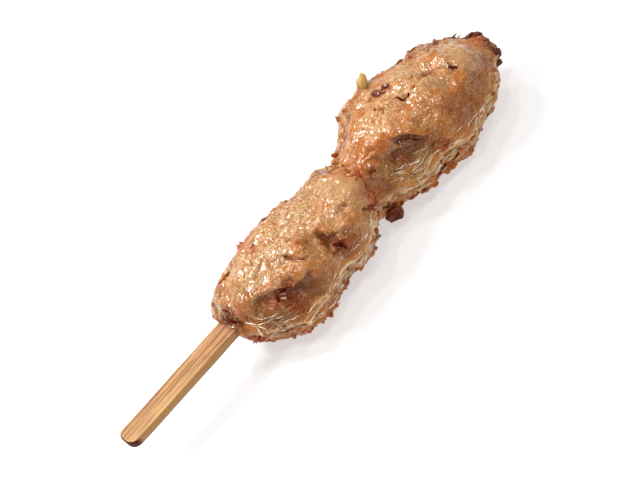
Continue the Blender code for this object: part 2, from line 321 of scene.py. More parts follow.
class TreeBuilder:
    """Adds nodes to a node tree and links them as they are made."""

    def __init__(self, tree: bpy.types.NodeTree) -> None:
        """Keeps the tree that the nodes go into."""
        self.tree = tree

    def node(self, kind: str, inputs: dict | None = None, **settings: object) -> bpy.types.Node:
        """Adds one node.

        Args:
            kind: Blender's identifier of the node type.
            inputs: Values or sockets by input name or index.
            **settings: Properties of the node.

        Returns:
            The new node.
        """
        made = self.tree.nodes.new(kind)
        for name, value in settings.items():
            setattr(made, name, value)
        for key, value in (inputs or {}).items():
            if isinstance(value, bpy.types.NodeSocket):
                self.tree.links.new(value, made.inputs[key])
            else:
                made.inputs[key].default_value = value
        return made

    def link(self, value: Socket, node: bpy.types.Node, name: str | int) -> None:
        """Links a socket to an input of a node that is already there."""
        self.tree.links.new(value, node.inputs[name])

    def math(self, operation: str, first: object, second: object = 0.0, third: object = 0.0) -> Socket:
        """Adds a Math node and returns its result."""
        made = self.node("ShaderNodeMath", {0: first, 1: second, 2: third}, operation=operation)
        return made.outputs[0]

    def times(self, first: object, second: object) -> Socket:
        """Multiplies two numbers."""
        return self.math("MULTIPLY", first, second)

    def larger(self, first: object, second: object) -> Socket:
        """Takes the larger of two numbers."""
        return self.math("MAXIMUM", first, second)

    def vector(self, operation: str, first: object, second: object = (0, 0, 0)) -> Socket:
        """Adds a Vector Math node and returns its vector."""
        made = self.node("ShaderNodeVectorMath", {0: first, 1: second}, operation=operation)
        return made.outputs[0]

    def scaled(self, vector: object, scale: object) -> Socket:
        """Adds a Vector Math node that scales a vector, and returns it."""
        made = self.node("ShaderNodeVectorMath", {0: vector, 3: scale}, operation="SCALE")
        return made.outputs[0]

    def ramp(
        self, value: object, low: float, high: float, low_to: float = 0.0, high_to: float = 1.0
    ) -> Socket:
        """Maps a number smoothly between two limits.

        Args:
            value: The number.
            low: The first limit.
            high: The second limit, which may be below the first.
            low_to: The result at the first limit and before it.
            high_to: The result at the second limit and past it.

        Returns:
            The mapped number.
        """
        limits = {0: value, 1: low, 2: high, 3: low_to, 4: high_to}
        return self.node("ShaderNodeMapRange", limits, interpolation_type="SMOOTHSTEP").outputs[0]

    def mix(self, factor: object, first: object, second: object) -> Socket:
        """Adds a colour Mix node and returns its colour."""
        made = self.node("ShaderNodeMix", {0: factor, 6: first, 7: second}, data_type="RGBA")
        return made.outputs[2]

    def tinted(self, colour: object, layers: tuple[tuple[Socket, float, float, float, Rgba], ...]) -> Socket:
        """Lays tints over a colour, one after another, each where a noise passes its limits.

        Args:
            colour: The colour below.
            layers: A noise, its first and second limit, the share past the second, and the tint.

        Returns:
            The colour with its tints.
        """
        for value, low, high, share, tint in layers:
            colour = self.mix(self.ramp(value, low, high, 0.0, share), colour, tint)
        return colour

    def noise(
        self, where: object, size: object, detail: float = 2.0, rough: float = 0.5, output: str | int = 0
    ) -> Socket:
        """Adds a Noise Texture.

        Args:
            where: Where it is read.
            size: About how far across its forms are, in metres, as a number or a socket.
            detail: How many finer noises it adds.
            rough: How strong the finer noises are.
            output: Which of its outputs is taken.

        Returns:
            Its value, or the output that was named.
        """
        scale = self.math("DIVIDE", 1.0, size) if isinstance(size, bpy.types.NodeSocket) else 1 / size
        inputs = {"Vector": where, "Scale": scale, "Detail": detail, "Roughness": rough}
        return self.node("ShaderNodeTexNoise", inputs).outputs[output]

    def cells(self, where: object, size: float) -> Socket:
        """Adds a Voronoi Texture with cells about `size` metres across, and returns its distance."""
        return self.node("ShaderNodeTexVoronoi", {"Vector": where, "Scale": 1 / size}).outputs["Distance"]

    def folded(self, value: Socket) -> Socket:
        """Folds a noise at its middle, so that it has round tops and sharp valleys."""
        return self.math("ABSOLUTE", self.math("MULTIPLY_ADD", value, 2.0, -1.0))

    def drawn(self, low: object, high: object, seed: Socket) -> Socket:
        """Draws a number at random for each element, or a vector where the limits are vectors.

        Args:
            low: The lower limit.
            high: The upper limit.
            seed: What makes the draws differ from others.

        Returns:
            The number or vector.
        """
        kind, first, output = ("FLOAT_VECTOR", 0, 0) if isinstance(low, tuple) else ("FLOAT", 2, 1)
        limits = {first: low, first + 1: high, "Seed": seed}
        return self.node("FunctionNodeRandomValue", limits, data_type=kind).outputs[output]

    def stored(self, name: str) -> Socket:
        """Reads a number stored on the mesh, in a Geometry Nodes tree."""
        return self.node("GeometryNodeInputNamedAttribute", {"Name": name}, data_type="FLOAT").outputs[0]

    def attribute(self, name: str) -> Socket:
        """Reads a number stored on the mesh, in a material."""
        return self.node("ShaderNodeAttribute", {}, attribute_name=name).outputs["Fac"]

    def raised(self, height: Socket, strength: float, distance: float) -> Socket:
        """Adds a Bump node and returns its normal."""
        made = self.node("ShaderNodeBump", {"Strength": strength, "Distance": distance, "Height": height})
        return made.outputs[0]


def new_object(name: str, data: bpy.types.ID) -> bpy.types.Object:
    """Links a new object to the scene.

    Args:
        name: The object's name.
        data: Its mesh, light or camera.

    Returns:
        The new object.
    """
    made = bpy.data.objects.new(name, data)
    bpy.context.scene.collection.objects.link(made)
    return made


def settle(obj: bpy.types.Object) -> None:
    """Replaces an object's mesh by the result of its modifiers, and removes them.

    Args:
        obj: The object with its modifiers.
    """
    bpy.context.view_layer.update()
    graph = bpy.context.evaluated_depsgraph_get()
    mesh = bpy.data.meshes.new_from_object(obj.evaluated_get(graph))
    old = obj.data
    obj.modifiers.clear()
    obj.data = mesh
    bpy.data.meshes.remove(old)


def even_copy(node: str, voxel: float, smooth_steps: int, finer_levels: int) -> bpy.types.Object:
    """Copies a solid and remeshes it evenly, with its edges softened.

    Args:
        node: The solid's node.
        voxel: How far the new mesh's points stand apart.
        smooth_steps: How often the mesh is smoothed.
        finer_levels: How often it is then subdivided.

    Returns:
        The new skin, still without relief.
    """
    bm = bmesh.new()
    bm.from_mesh(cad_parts[node].data)
    bmesh.ops.remove_doubles(bm, verts=bm.verts, dist=0.001 * MM)
    mesh = bpy.data.meshes.new(f"{node}_skin")
    bm.to_mesh(mesh)
    bm.free()
    skin = new_object(f"{node}_skin", mesh)
    remesh = skin.modifiers.new("even", "REMESH")
    remesh.mode = "VOXEL"
    remesh.voxel_size = voxel
    soften = skin.modifiers.new("soften", "SMOOTH")
    soften.factor = 0.5
    soften.iterations = smooth_steps
    finer = skin.modifiers.new("finer", "SUBSURF")
    finer.levels = finer.render_levels = finer_levels
    settle(skin)
    return skin


def points_of(mesh: bpy.types.Mesh) -> np.ndarray:
    """Reads a mesh's vertices.

    Args:
        mesh: The mesh.

    Returns:
        A row of three coordinates for each vertex.
    """
    points = np.empty(len(mesh.vertices) * 3, np.float32)
    mesh.vertices.foreach_get("co", points)
    return points.reshape(-1, 3).astype(np.float64)


def normals_of(mesh: bpy.types.Mesh) -> np.ndarray:
    """Reads a mesh's vertex normals.

    Args:
        mesh: The mesh.

    Returns:
        A row of three parts for each vertex.
    """
    normals = np.empty(len(mesh.vertices) * 3, np.float32)
    mesh.vertex_normals.foreach_get("vector", normals)
    return normals.reshape(-1, 3).astype(np.float64)


def put_points(mesh: bpy.types.Mesh, points: np.ndarray) -> None:
    """Writes a mesh's vertices back."""
    mesh.vertices.foreach_set("co", points.astype(np.float32).ravel())
    mesh.update()


def keep_above_floor(mesh: bpy.types.Mesh) -> None:
    """Raises the vertices that are below the floor to it.

    Args:
        mesh: The mesh.
    """
    points = points_of(mesh)
    points[:, 2] = np.maximum(points[:, 2], 0)
    put_points(mesh, points)


def noise_at(points: np.ndarray, size: float, shift: float = 0.0) -> np.ndarray:
    """Reads a smooth noise at points.

    Args:
        points: A row of three coordinates for each point.
        size: About how far across the noise's forms are, in the points' own units.
        shift: How far the noise is moved along its first axis.

    Returns:
        A number from about -1 to 1 for each point.
    """
    return np.array([noise.noise(Vector(p) / size + Vector((shift, 0, 0))) for p in points])


def surface_of(mesh: bpy.types.Mesh) -> BVHTree:
    """Makes a mesh's faces ready to find places on its surface.

    Args:
        mesh: The mesh.

    Returns:
        The tree of its faces.
    """
    corners = [v.co.copy() for v in mesh.vertices]
    return BVHTree.FromPolygons(corners, [tuple(p.vertices) for p in mesh.polygons])


def put_attribute(mesh: bpy.types.Mesh, name: str, values: np.ndarray) -> None:
    """Stores one number at each vertex."""
    made = mesh.attributes.get(name) or mesh.attributes.new(name, "FLOAT", "POINT")
    made.data.foreach_set("value", values.astype(np.float32))


def run_tree(obj: bpy.types.Object, tree: bpy.types.NodeTree, values: dict[str, object]) -> None:
    """Runs a Geometry Nodes tree on an object and keeps the result as its mesh.

    Args:
        obj: The object whose mesh the tree reads.
        tree: The Geometry Nodes tree.
        values: The tree's inputs by name.
    """
    modifier = obj.modifiers.new(tree.name, "NODES")
    modifier.node_group = tree
    for item in tree.interface.items_tree:
        if item.item_type == "SOCKET" and item.in_out == "INPUT" and item.name in values:
            modifier[item.identifier] = values[item.name]
    settle(obj)


def geometry_tree(name: str, sizes: dict[str, float]) -> tuple[TreeBuilder, bpy.types.Node]:
    """Starts a Geometry Nodes tree with named float inputs.

    Args:
        name: The tree's name.
        sizes: Its inputs and their usual values.

    Returns:
        The tree's builder and its Group Input node.
    """
    tree = bpy.data.node_groups.new(name, "GeometryNodeTree")
    tree.interface.new_socket("Geometry", in_out="INPUT", socket_type="NodeSocketGeometry")
    for label, value in sizes.items():
        made = tree.interface.new_socket(label, in_out="INPUT", socket_type="NodeSocketFloat")
        made.default_value = value
    tree.interface.new_socket("Material", in_out="INPUT", socket_type="NodeSocketMaterial")
    tree.interface.new_socket("Geometry", in_out="OUTPUT", socket_type="NodeSocketGeometry")
    builder = TreeBuilder(tree)
    return builder, builder.node("NodeGroupInput")


def close_tree(build: TreeBuilder, geometry: Socket, material: Socket) -> None:
    """Ends a Geometry Nodes tree in Realize Instances and Set Material.

    Args:
        build: The tree's builder.
        geometry: What the tree has made.
        material: The material that it gets.
    """
    real = build.node("GeometryNodeRealizeInstances", {"Geometry": geometry})
    dressed = build.node("GeometryNodeSetMaterial", {"Geometry": real.outputs[0], "Material": material})
    build.node("NodeGroupOutput", {"Geometry": dressed.outputs[0]})


@dataclass(frozen=True)
class MinceRelief:
    """Sizes of the mince's relief: swells, clumps, grains and threads at the lip."""

    swell_size: float = 6.5 * MM
    swell_height: float = 1.5 * MM
    clump_size: float = 3.2 * MM
    clump_height: float = 1.0 * MM
    grain_size: float = 1.35 * MM
    grain_height: float = 0.24 * MM
    thread_size: float = 1.9 * MM
    thread_height: float = 0.45 * MM

    def tree(self) -> bpy.types.NodeTree:
        """Builds the tree that raises the relief and stores its height.

        Returns:
            The Geometry Nodes tree, with an input for each size and a Seed.
        """
        sizes = {
            "Swell Size": self.swell_size,
            "Swell Height": self.swell_height,
            "Clump Size": self.clump_size,
            "Clump Height": self.clump_height,
            "Grain Size": self.grain_size,
            "Grain Height": self.grain_height,
            "Thread Size": self.thread_size,
            "Thread Height": self.thread_height,
            "Seed": 1.0,
        }
        build, given = geometry_tree("mince_relief", sizes)
        take = given.outputs
        at = build.node("GeometryNodeInputPosition").outputs[0]
        shift = build.node("ShaderNodeCombineXYZ", {0: take["Seed"], 1: 0.37, 2: -0.81}).outputs[0]
        at = build.vector("ADD", at, build.scaled(shift, 0.11))
        wander = build.vector("SUBTRACT", build.noise(at, 5 * MM, output="Color"), (0.5, 0.5, 0.5))
        bent = build.vector("ADD", at, build.scaled(wander, 4.5 * MM))
        patchy = build.ramp(build.noise(at, 12 * MM), 0.36, 0.62, 0.4, 1.15)

        swell = build.math("SUBTRACT", build.noise(at, take["Swell Size"], 1.0), 0.5)
        clump = build.folded(build.noise(bent, take["Clump Size"], 1.0))
        clump = build.math("SUBTRACT", clump, 0.2)
        grain = build.folded(build.noise(bent, take["Grain Size"], 2.0))
        grain = build.math("SUBTRACT", grain, 0.2)
        broad = build.times(clump, take["Clump Height"])
        broad = build.times(broad, patchy)
        broad = build.math("MULTIPLY_ADD", swell, take["Swell Height"], broad)
        height = build.math("MULTIPLY_ADD", grain, take["Grain Height"], broad)

        rough = build.math("SUBTRACT", 1.0, build.times(build.stored("smooth"), 0.75))
        height = build.times(height, rough)
        height = build.times(height, build.math("MULTIPLY_ADD", build.stored("crag"), 0.8, 1.0))

        waved = build.vector("ADD", at, build.scaled(wander, 1.6 * MM))
        drawn = build.vector("MULTIPLY", waved, (0.16, 1, 1))
        thread = build.folded(build.noise(drawn, take["Thread Size"], 1.0))
        thread = build.times(build.ramp(thread, 0.0, 0.16, 1.0, 0.0), build.stored("lip"))
        height = build.math("MULTIPLY_ADD", thread, take["Thread Height"], height)
        height = build.times(height, build.math("SUBTRACT", 1.0, build.stored("flat")))

        along = build.node("GeometryNodeInputNormal").outputs[0]
        geometry = take["Geometry"]
        for name, value in (
            ("height", build.math("DIVIDE", height, MM)),
            ("ridge", build.math("DIVIDE", broad, MM)),
            ("thread", thread),
        ):
            geometry = build.node(
                "GeometryNodeStoreNamedAttribute",
                {"Geometry": geometry, "Name": name, "Value": value},
                data_type="FLOAT",
                domain="POINT",
            ).outputs[0]
        offset = build.scaled(along, build.times(build.stored("height"), MM))
        geometry = build.node("GeometryNodeSetPosition", {"Geometry": geometry, "Offset": offset}).outputs[0]
        close_tree(build, geometry, take["Material"])
        return build.tree


@dataclass(frozen=True)
class CrumbScatter:
    """Sizes of the loose crumbs of mince that stand on a lump, and how far they are stretched."""

    smallest: float = 0.7 * MM
    largest: float = 2.2 * MM
    per_square_metre: float = 130000.0
    shapes: int = 4
    shapes_apart: float = 7.3
    dents: float = 2.6
    least_stretch: Colour = (0.7, 0.5, 0.45)
    most_stretch: Colour = (1.5, 0.9, 0.8)

    def tree(self) -> bpy.types.NodeTree:
        """Builds the tree that scatters uneven crumbs where the lump is crumbly.

        Returns:
            The Geometry Nodes tree, with inputs for the sizes, the density and a Seed.
        """
        sizes = {
            "Smallest": self.smallest,
            "Largest": self.largest,
            "Density": self.per_square_metre,
            "Seed": 1.0,
        }
        build, given = geometry_tree("crumb_scatter", sizes)
        seed = build.node("FunctionNodeFloatToInt", {0: given.outputs["Seed"]}).outputs[0]
        density = build.times(given.outputs["Density"], build.stored("crumbly"))
        spread = build.node(
            "GeometryNodeDistributePointsOnFaces",
            {"Mesh": given.outputs["Geometry"], "Density": density, "Seed": seed},
        )
        shapes = build.node("GeometryNodeGeometryToInstance")
        for variant in range(self.shapes):
            ball = build.node("GeometryNodeMeshIcoSphere", {"Radius": 0.5, "Subdivisions": 2}).outputs[0]
            at = build.node("GeometryNodeInputPosition").outputs[0]
            at = build.vector("ADD", at, (self.shapes_apart * variant, 0, 0))
            bump = build.noise(at, 1 / self.dents, output="Color")
            offset = build.scaled(build.vector("SUBTRACT", bump, (0.5, 0.5, 0.5)), 1.0)
            uneven = build.node("GeometryNodeSetPosition", {"Geometry": ball, "Offset": offset}).outputs[0]
            build.link(uneven, shapes, 0)
        turn = build.drawn((0, 0, 0), (math.tau,) * 3, seed)
        smallest, largest = given.outputs["Smallest"], given.outputs["Largest"]
        size = build.drawn(smallest, largest, build.math("ADD", seed, 3))
        stretch = build.drawn(self.least_stretch, self.most_stretch, build.math("ADD", seed, 5))
        crumbs = build.node(
            "GeometryNodeInstanceOnPoints",
            {
                "Points": spread.outputs["Points"],
                "Instance": shapes.outputs[0],
                "Pick Instance": True,
                "Rotation": turn,
                "Scale": build.scaled(stretch, size),
            },
        ).outputs[0]
        tint = build.drawn(0.0, 1.0, build.math("ADD", seed, 9))
        tinted = build.node(
            "GeometryNodeStoreNamedAttribute",
            {"Geometry": crumbs, "Name": "tint", "Value": tint},
            data_type="FLOAT",
            domain="INSTANCE",
        ).outputs[0]
        smooth = build.node("GeometryNodeSetShadeSmooth", {"Geometry": tinted}).outputs[0]
        close_tree(build, smooth, given.outputs["Material"])
        return build.tree


@dataclass(frozen=True)
class ThreadSweep:
    """Sizes of the pale threads of fat that run along a lump's lip."""

    radius: float = 0.13 * MM

    def tree(self) -> bpy.types.NodeTree:
        """Builds the tree that gives each thread an uneven round section.

        Returns:
            The Geometry Nodes tree, with an input for the thread's radius.
        """
        build, given = geometry_tree("fat_thread", {"Thread Radius": self.radius})
        curve = build.node("GeometryNodeMeshToCurve", {0: given.outputs["Geometry"]}).outputs[0]
        at = build.node("GeometryNodeInputPosition").outputs[0]
        uneven = build.ramp(build.noise(at, 2.2 * MM), 0.25, 0.75, 0.45, 1.7)
        ends = build.node("GeometryNodeSplineParameter").outputs[0]
        taper = build.times(ends, build.math("SUBTRACT", 1.0, ends))
        taper = build.math("MINIMUM", 1.0, build.times(taper, 12.0))
        width = build.times(build.times(uneven, taper), given.outputs["Thread Radius"])
        width = build.times(width, build.stored("girth"))
        profile = build.node("GeometryNodeCurvePrimitiveCircle", {"Resolution": 7, "Radius": 1.0}).outputs[0]
        swept = build.node(
            "GeometryNodeCurveToMesh",
            {"Curve": curve, "Profile Curve": profile, "Scale": width, "Fill Caps": True},
        ).outputs[0]
        smooth = build.node("GeometryNodeSetShadeSmooth", {"Geometry": swept}).outputs[0]
        close_tree(build, smooth, given.outputs["Material"])
        return build.tree


def principled(name: str, fixed: dict[str, object]) -> tuple[bpy.types.Material, TreeBuilder, bpy.types.Node]:
    """Starts a material on the Principled BSDF.

    Args:
        name: The material's name.
        fixed: Values that are the same all over, by input name.

    Returns:
        The material, its tree's builder and the shader node.
    """
    material = bpy.data.materials.new(name)
    material.use_nodes = True
    shader = material.node_tree.nodes["Principled BSDF"]
    for key, value in fixed.items():
        shader.inputs[key].default_value = value
    return material, TreeBuilder(material.node_tree), shader


@dataclass(frozen=True)
class MinceFinish:
    """Grilled mince: pale and greasy, browned on its ridges, with painted shade in its hollows and below its
    ledges.
    """

    name: str
    cream: Rgba = linear(234, 200, 156)
    pale: Rgba = linear(204, 165, 116)
    tan: Rgba = linear(186, 130, 66)
    pink: Rgba = linear(200, 122, 84)
    amber: Rgba = linear(184, 102, 16)
    toast_and_shade: Rgba = linear(174, 102, 30)
    ridge: Rgba = linear(154, 76, 10)
    crevice_shade: Rgba = linear(108, 44, 4)
    brown: Rgba = linear(114, 46, 4)
    olive: Rgba = linear(120, 84, 36)
    moss: Rgba = linear(172, 130, 60)
    red: Rgba = linear(154, 48, 2)
    coral: Rgba = linear(184, 86, 48)
    char: Rgba = linear(80, 20, 16)
    onion: Rgba = linear(202, 164, 92)
    film: Rgba = linear(192, 126, 50)
    fat: Rgba = linear(246, 232, 196)

    def colour(self, build: TreeBuilder, at: Socket) -> Socket:
        """Mixes the mince's colour from its relief, its spots and noise.

        Args:
            build: The material's tree.
            at: Where on the lump.

        Returns:
            The colour.
        """
        broad = build.noise(at, 11 * MM, 3.0)
        mottle = build.noise(at, 3.6 * MM, 4.0, 0.6)
        speck = build.noise(at, 0.95 * MM, 3.0, 0.65)
        other = build.noise(build.vector("ADD", at, (0.3, 0.1, 0)), 4.5 * MM, 3.0, 0.6)
        third = build.noise(build.vector("ADD", at, (0.7, 0, 0.2)), 2.6 * MM, 2.0, 0.6)
        grain = build.noise(build.vector("ADD", at, (0, 0.4, 0.1)), 0.5 * MM, 1.0, 0.5)

        colour = build.mix(build.ramp(mottle, 0.38, 0.64), self.pale, self.tan)
        colour = build.tinted(colour, (
            (other, 0.54, 0.66, 0.6, self.pink),
            (third, 0.57, 0.68, 0.75, self.amber),
            (third, 0.44, 0.36, 0.4, self.moss),
            (speck, 0.54, 0.64, 0.7, self.ridge),
            (speck, 0.46, 0.38, 0.75, self.cream),
            (grain, 0.57, 0.66, 0.75, self.ridge),
            (grain, 0.44, 0.35, 0.85, self.cream),
        ))
        uneven = build.ramp(mottle, 0.3, 0.6, 0.7, 1.0)
        # Painted shade, partly: the front side is browner, as real toasting and as the shade that falls
        # there.
        seared_and_shaded = build.times(build.attribute("toast_and_shade"), build.ramp(other, 0.38, 0.58, 0.3, 0.75))
        colour = build.mix(seared_and_shaded, colour, self.toast_and_shade)
        toasted = build.ramp(build.attribute("ridge"), 0.05, 0.6)
        toasted = build.times(toasted, build.ramp(broad, 0.4, 0.6, 0.25, 0.9))
        colour = build.mix(build.times(toasted, uneven), colour, self.amber)
        edge = build.times(build.ramp(build.attribute("fold"), 0.15, 0.8), 0.5)
        colour = build.mix(build.times(edge, uneven), colour, self.amber)
        crag = build.times(build.attribute("crag"), build.ramp(mottle, 0.36, 0.6, 0.35, 0.9))
        colour = build.mix(crag, colour, self.ridge)
        for kind, tint in (
            (Patch.BROWN, self.brown),
            (Patch.OLIVE, self.olive),
            (Patch.AMBER, self.amber),
            (Patch.RED, self.red),
            (Patch.CORAL, self.coral),
        ):
            colour = build.mix(build.times(build.attribute(kind.value), uneven), colour, tint)
        dots = build.noise(build.vector("ADD", at, (0.2, 0, 0.6)), 0.42 * MM, 1.0, 0.5)
        dark_dots, pale_dots = (dots, 0.56, 0.68, 0.55, self.brown), (dots, 0.43, 0.32, 0.5, self.pale)
        colour = build.tinted(colour, (dark_dots, pale_dots))
        colour = build.mix(build.times(build.attribute("pale"), 0.75), colour, self.pale)
        stained = build.larger(build.attribute("brown"), build.attribute("red"))
        stained = build.larger(stained, build.attribute("olive"))
        film = build.times(build.attribute("lip"), build.ramp(stained, 0.0, 1.0, 0.7, 0.1))
        colour = build.mix(film, colour, self.film)
        fat = build.times(build.attribute("thread"), build.ramp(stained, 0.0, 1.0, 0.75, 0.25))
        colour = build.mix(fat, colour, self.fat)

        # Painted shade: deep brown where the relief sinks and where a fold drops away below its ledge or
        # crease.
        painted_hollow_shade = build.ramp(build.attribute("height"), -0.15, -0.7, 0.0, 0.65)
        colour = build.mix(painted_hollow_shade, colour, self.crevice_shade)
        colour = build.mix(build.ramp(build.attribute("fold"), -0.2, -1.3, 0.0, 0.6), colour, self.crevice_shade)
        colour = build.mix(build.attribute("onion"), colour, self.onion)
        char = build.times(build.attribute("char"), build.ramp(speck, 0.2, 0.5, 0.85, 1.0))
        return build.mix(char, colour, self.char)

    def material(self, crumbs: bool = False) -> bpy.types.Material:
        """Builds the material.

        Args:
            crumbs: Whether it dresses loose crumbs, which carry their own tint.

        Returns:
            The material.
        """
        fixed = {
            "IOR": 1.4,
            "Specular IOR Level": 0.1,
            "Subsurface Weight": 0.2,
            "Subsurface Radius": (1.0, 0.38, 0.16),
            "Subsurface Scale": 1.2 * MM,
            "Coat Roughness": 0.1,
            "Coat IOR": 1.6,
        }
        material, build, shader = principled(self.name, fixed)
        at = build.node("ShaderNodeTexCoord").outputs["Object"]
        colour = self.colour(build, at)
        if crumbs:
            tint = build.attribute("tint")
            browned, greasy = (tint, 0.5, 1.0, 0.85, self.ridge), (tint, 0.4, 0.0, 0.6, self.amber)
            colour = build.tinted(colour, (browned, greasy))
        build.link(colour, shader, "Base Color")

        dry = build.attribute("char")
        drier = (("crag", 0.4), ("olive", 0.6), ("toast_and_shade", 0.65), ("onion", 0.5), ("red", 0.6), ("lip", 0.4))
        for name, share in drier:
            dry = build.larger(dry, build.times(build.attribute(name), share))
        build.link(build.ramp(dry, 0.0, 1.0, 1.0, 0.15), shader, "Coat Weight")
        wet = build.ramp(build.noise(at, 4.2 * MM, 3.0), 0.38, 0.62, 0.55, 0.35)
        build.link(wet, shader, "Roughness")
        fine = build.noise(at, 0.55 * MM, 2.0, 0.6)
        build.link(build.raised(fine, 0.7, 0.3 * MM), shader, "Normal")
        beads = build.noise(at, 1.2 * MM, 1.0)
        build.link(build.raised(beads, 1.0, 0.1 * MM), shader, "Coat Normal")
        return material


@dataclass(frozen=True)
class FatFinish:
    """Threads on the mince: pale, yellowish and glossy fat, or strands burnt dull and dark; some pale strands
    are painted highlights and one dark strand a painted shadow.
    """

    name: str = "rendered_fat_and_glints"
    pale: Rgba = linear(248, 230, 200)
    yellow: Rgba = linear(204, 144, 70)
    coat: float = 0.7
    roughness: float = 0.22
    shine: float = 0.5

    def material(self) -> bpy.types.Material:
        """Builds the material.

        Returns:
            The material.
        """
        fixed = {
            "Roughness": self.roughness,
            "Specular IOR Level": self.shine,
            "IOR": 1.45,
            "Subsurface Weight": 0.35,
            "Subsurface Radius": (1.0, 0.7, 0.4),
            "Subsurface Scale": 1.2 * MM,
            "Coat Weight": self.coat,
            "Coat Roughness": 0.08,
        }
        material, build, shader = principled(self.name, fixed)
        at = build.node("ShaderNodeTexCoord").outputs["Object"]
        patchy = build.ramp(build.noise(at, 2.5 * MM, 3.0), 0.4, 0.62)
        build.link(build.mix(patchy, self.pale, self.yellow), shader, "Base Color")
        return material


@dataclass(frozen=True)
class BambooFinish:
    """Bare bamboo: warm tan with fine darker fibres, darker cut ends and edges, and sides darker, partly
    grain and partly painted shade.
    """

    name: str = "bamboo"
    light: Rgba = linear(206, 160, 102)
    warm: Rgba = linear(180, 128, 68)
    fibre: Rgba = linear(120, 62, 26)
    rosy: Rgba = linear(198, 136, 94)
    side: Rgba = linear(172, 124, 62)
    end: Rgba = linear(72, 24, 6)
    edge: Rgba = linear(96, 56, 28)
    stain: Rgba = linear(120, 58, 28)

    def material(self) -> bpy.types.Material:
        """Builds the material.

        Returns:
            The material.
        """
        fixed = {"IOR": 1.45, "Coat Weight": 0.08, "Coat Roughness": 0.35}
        material, build, shader = principled(self.name, fixed)
        at = build.node("ShaderNodeTexCoord").outputs["Object"]
        long, longer = (
            build.node("ShaderNodeMapping", {"Vector": at, "Scale": (share, 1.0, 1.0)}).outputs[0]
            for share in (0.05, 0.02)
        )
        band = build.noise(long, 1.6 * MM, 4.0, 0.6)
        fibre = build.noise(longer, 0.42 * MM, 3.0, 0.65)
        streak = build.noise(build.vector("ADD", longer, (0, 0.31, 0.2)), 0.6 * MM)
        colour = build.mix(build.ramp(band, 0.35, 0.65), self.light, self.warm)
        blush = build.noise(build.vector("ADD", long, (0.2, 0, 0.4)), 3.5 * MM)
        colour = build.tinted(colour, (
            (blush, 0.48, 0.62, 0.4, self.rosy),
            (fibre, 0.48, 0.6, 0.7, self.fibre),
            (fibre, 0.44, 0.36, 0.5, self.light),
            (streak, 0.58, 0.64, 0.85, self.fibre),
        ))

        normal = build.node("ShaderNodeNewGeometry").outputs["Normal"]
        facing = build.node("ShaderNodeSeparateXYZ", {0: normal}).outputs
        along, sideways, upwards = (build.math("ABSOLUTE", part) for part in facing)
        # Painted shade, partly: the sides are darker, as side grain and as the shade that falls on them.
        colour = build.mix(build.times(build.ramp(sideways, 0.5, 0.9), 0.7), colour, self.side)
        x, y, z = build.node("ShaderNodeSeparateXYZ", {0: at}).outputs
        # Darker in patches along the bottom edge, and darker along the back edge.
        low = build.ramp(z, STICK_LOW.z + 0.9 * MM, STICK_LOW.z + 0.3 * MM)
        edge_patches = build.ramp(build.noise(at, 1.8 * MM), 0.35, 0.55, 0.35, 0.9)
        colour = build.mix(build.times(low, edge_patches), colour, self.edge)
        back = build.ramp(y, STICK_HIGH.y - 0.4 * MM, STICK_HIGH.y - 0.1 * MM, 0.0, 0.6)
        colour = build.mix(back, colour, self.edge)
        wall = build.ramp(upwards, 0.8, 0.5)
        cut = build.ramp(x, STICK_LOW.x + 5 * MM, STICK_LOW.x + 2.5 * MM)
        endwise = build.ramp(along, 0.15, 0.5)
        endwise = build.larger(endwise, build.times(wall, cut))
        pores = build.ramp(build.cells(at, 0.55 * MM), 0.15, 0.4, 1.0, 0.93)
        colour = build.mix(build.times(endwise, pores), colour, self.end)
        near_meat = build.ramp(x, ORIGIN.x - 43.5 * MM, ORIGIN.x - 40 * MM)
        ragged = build.times(near_meat, build.ramp(band, 0.3, 0.7, 0.5, 1.0))
        colour = build.mix(build.times(ragged, 0.75), colour, self.stain)
        build.link(colour, shader, "Base Color")

        build.link(build.ramp(endwise, 0.0, 1.0, 0.5, 0.08), shader, "Specular IOR Level")
        build.link(build.ramp(fibre, 0.3, 0.7, 0.42, 0.58), shader, "Roughness")
        build.link(build.raised(fibre, 0.5, 0.12 * MM), shader, "Normal")
        return material


def thin(skin: bpy.types.Object) -> None:
    """Thins a finished skin to the number of triangles that a piece may have.

    Args:
        skin: The finished skin.
    """
    triangles = sum(len(polygon.vertices) - 2 for polygon in skin.data.polygons)
    if triangles > MOST_TRIANGLES:
        thinner = skin.modifiers.new("thin", "DECIMATE")
        thinner.ratio = MOST_TRIANGLES / triangles
        settle(skin)
        keep_above_floor(skin.data)


@dataclass(frozen=True)
class LumpZones:
    """Where a lump's zones lie: heights in mm from the stick's middle, angles in degrees.

    The crags lie low down and at the back, the side in front browner as toasting and as painted
    shade, and the lip with its threads between them. A zone's waves are how far its border wanders.
    """

    crag_height: float = -4.5
    crag_waves: float = 3.0
    crag_blend: float = 0.9
    back_angle: float = 42.0
    back_waves: float = 12.0
    back_reach: float = 15.0
    back_share: float = 0.8
    toast_shade_angle: float = 112.0
    toast_shade_waves: float = 26.0
    toast_shade_reach: float = 48.0
    lip_height: float = -1.8
    lip_waves: float = 2.5
    lip_reach: float = 2.6
    lip_out: float = 9.0
    belly: float = 0.1
    belly_blend: float = 0.5
    slot_gap: float = 0.9
    slot_mouth: float = 3.0
    slot_bottom: float = 2.5
    neck_reach: float = 1.6


@dataclass(frozen=True)
class ThreadCourse:
    """How a lump's threads of fat run: how many, their lengths, step and lift in mm.

    They bend round the lump at a radius in mm, and a share of them lies in front.
    """

    count: int = 70
    shortest: float = 3
    longest: float = 20
    usual: float = 6
    step: float = 0.55
    lift: float = 0.03
    bend_radius: float = 18
    in_front: float = 0.68
    fewest_points: int = 5


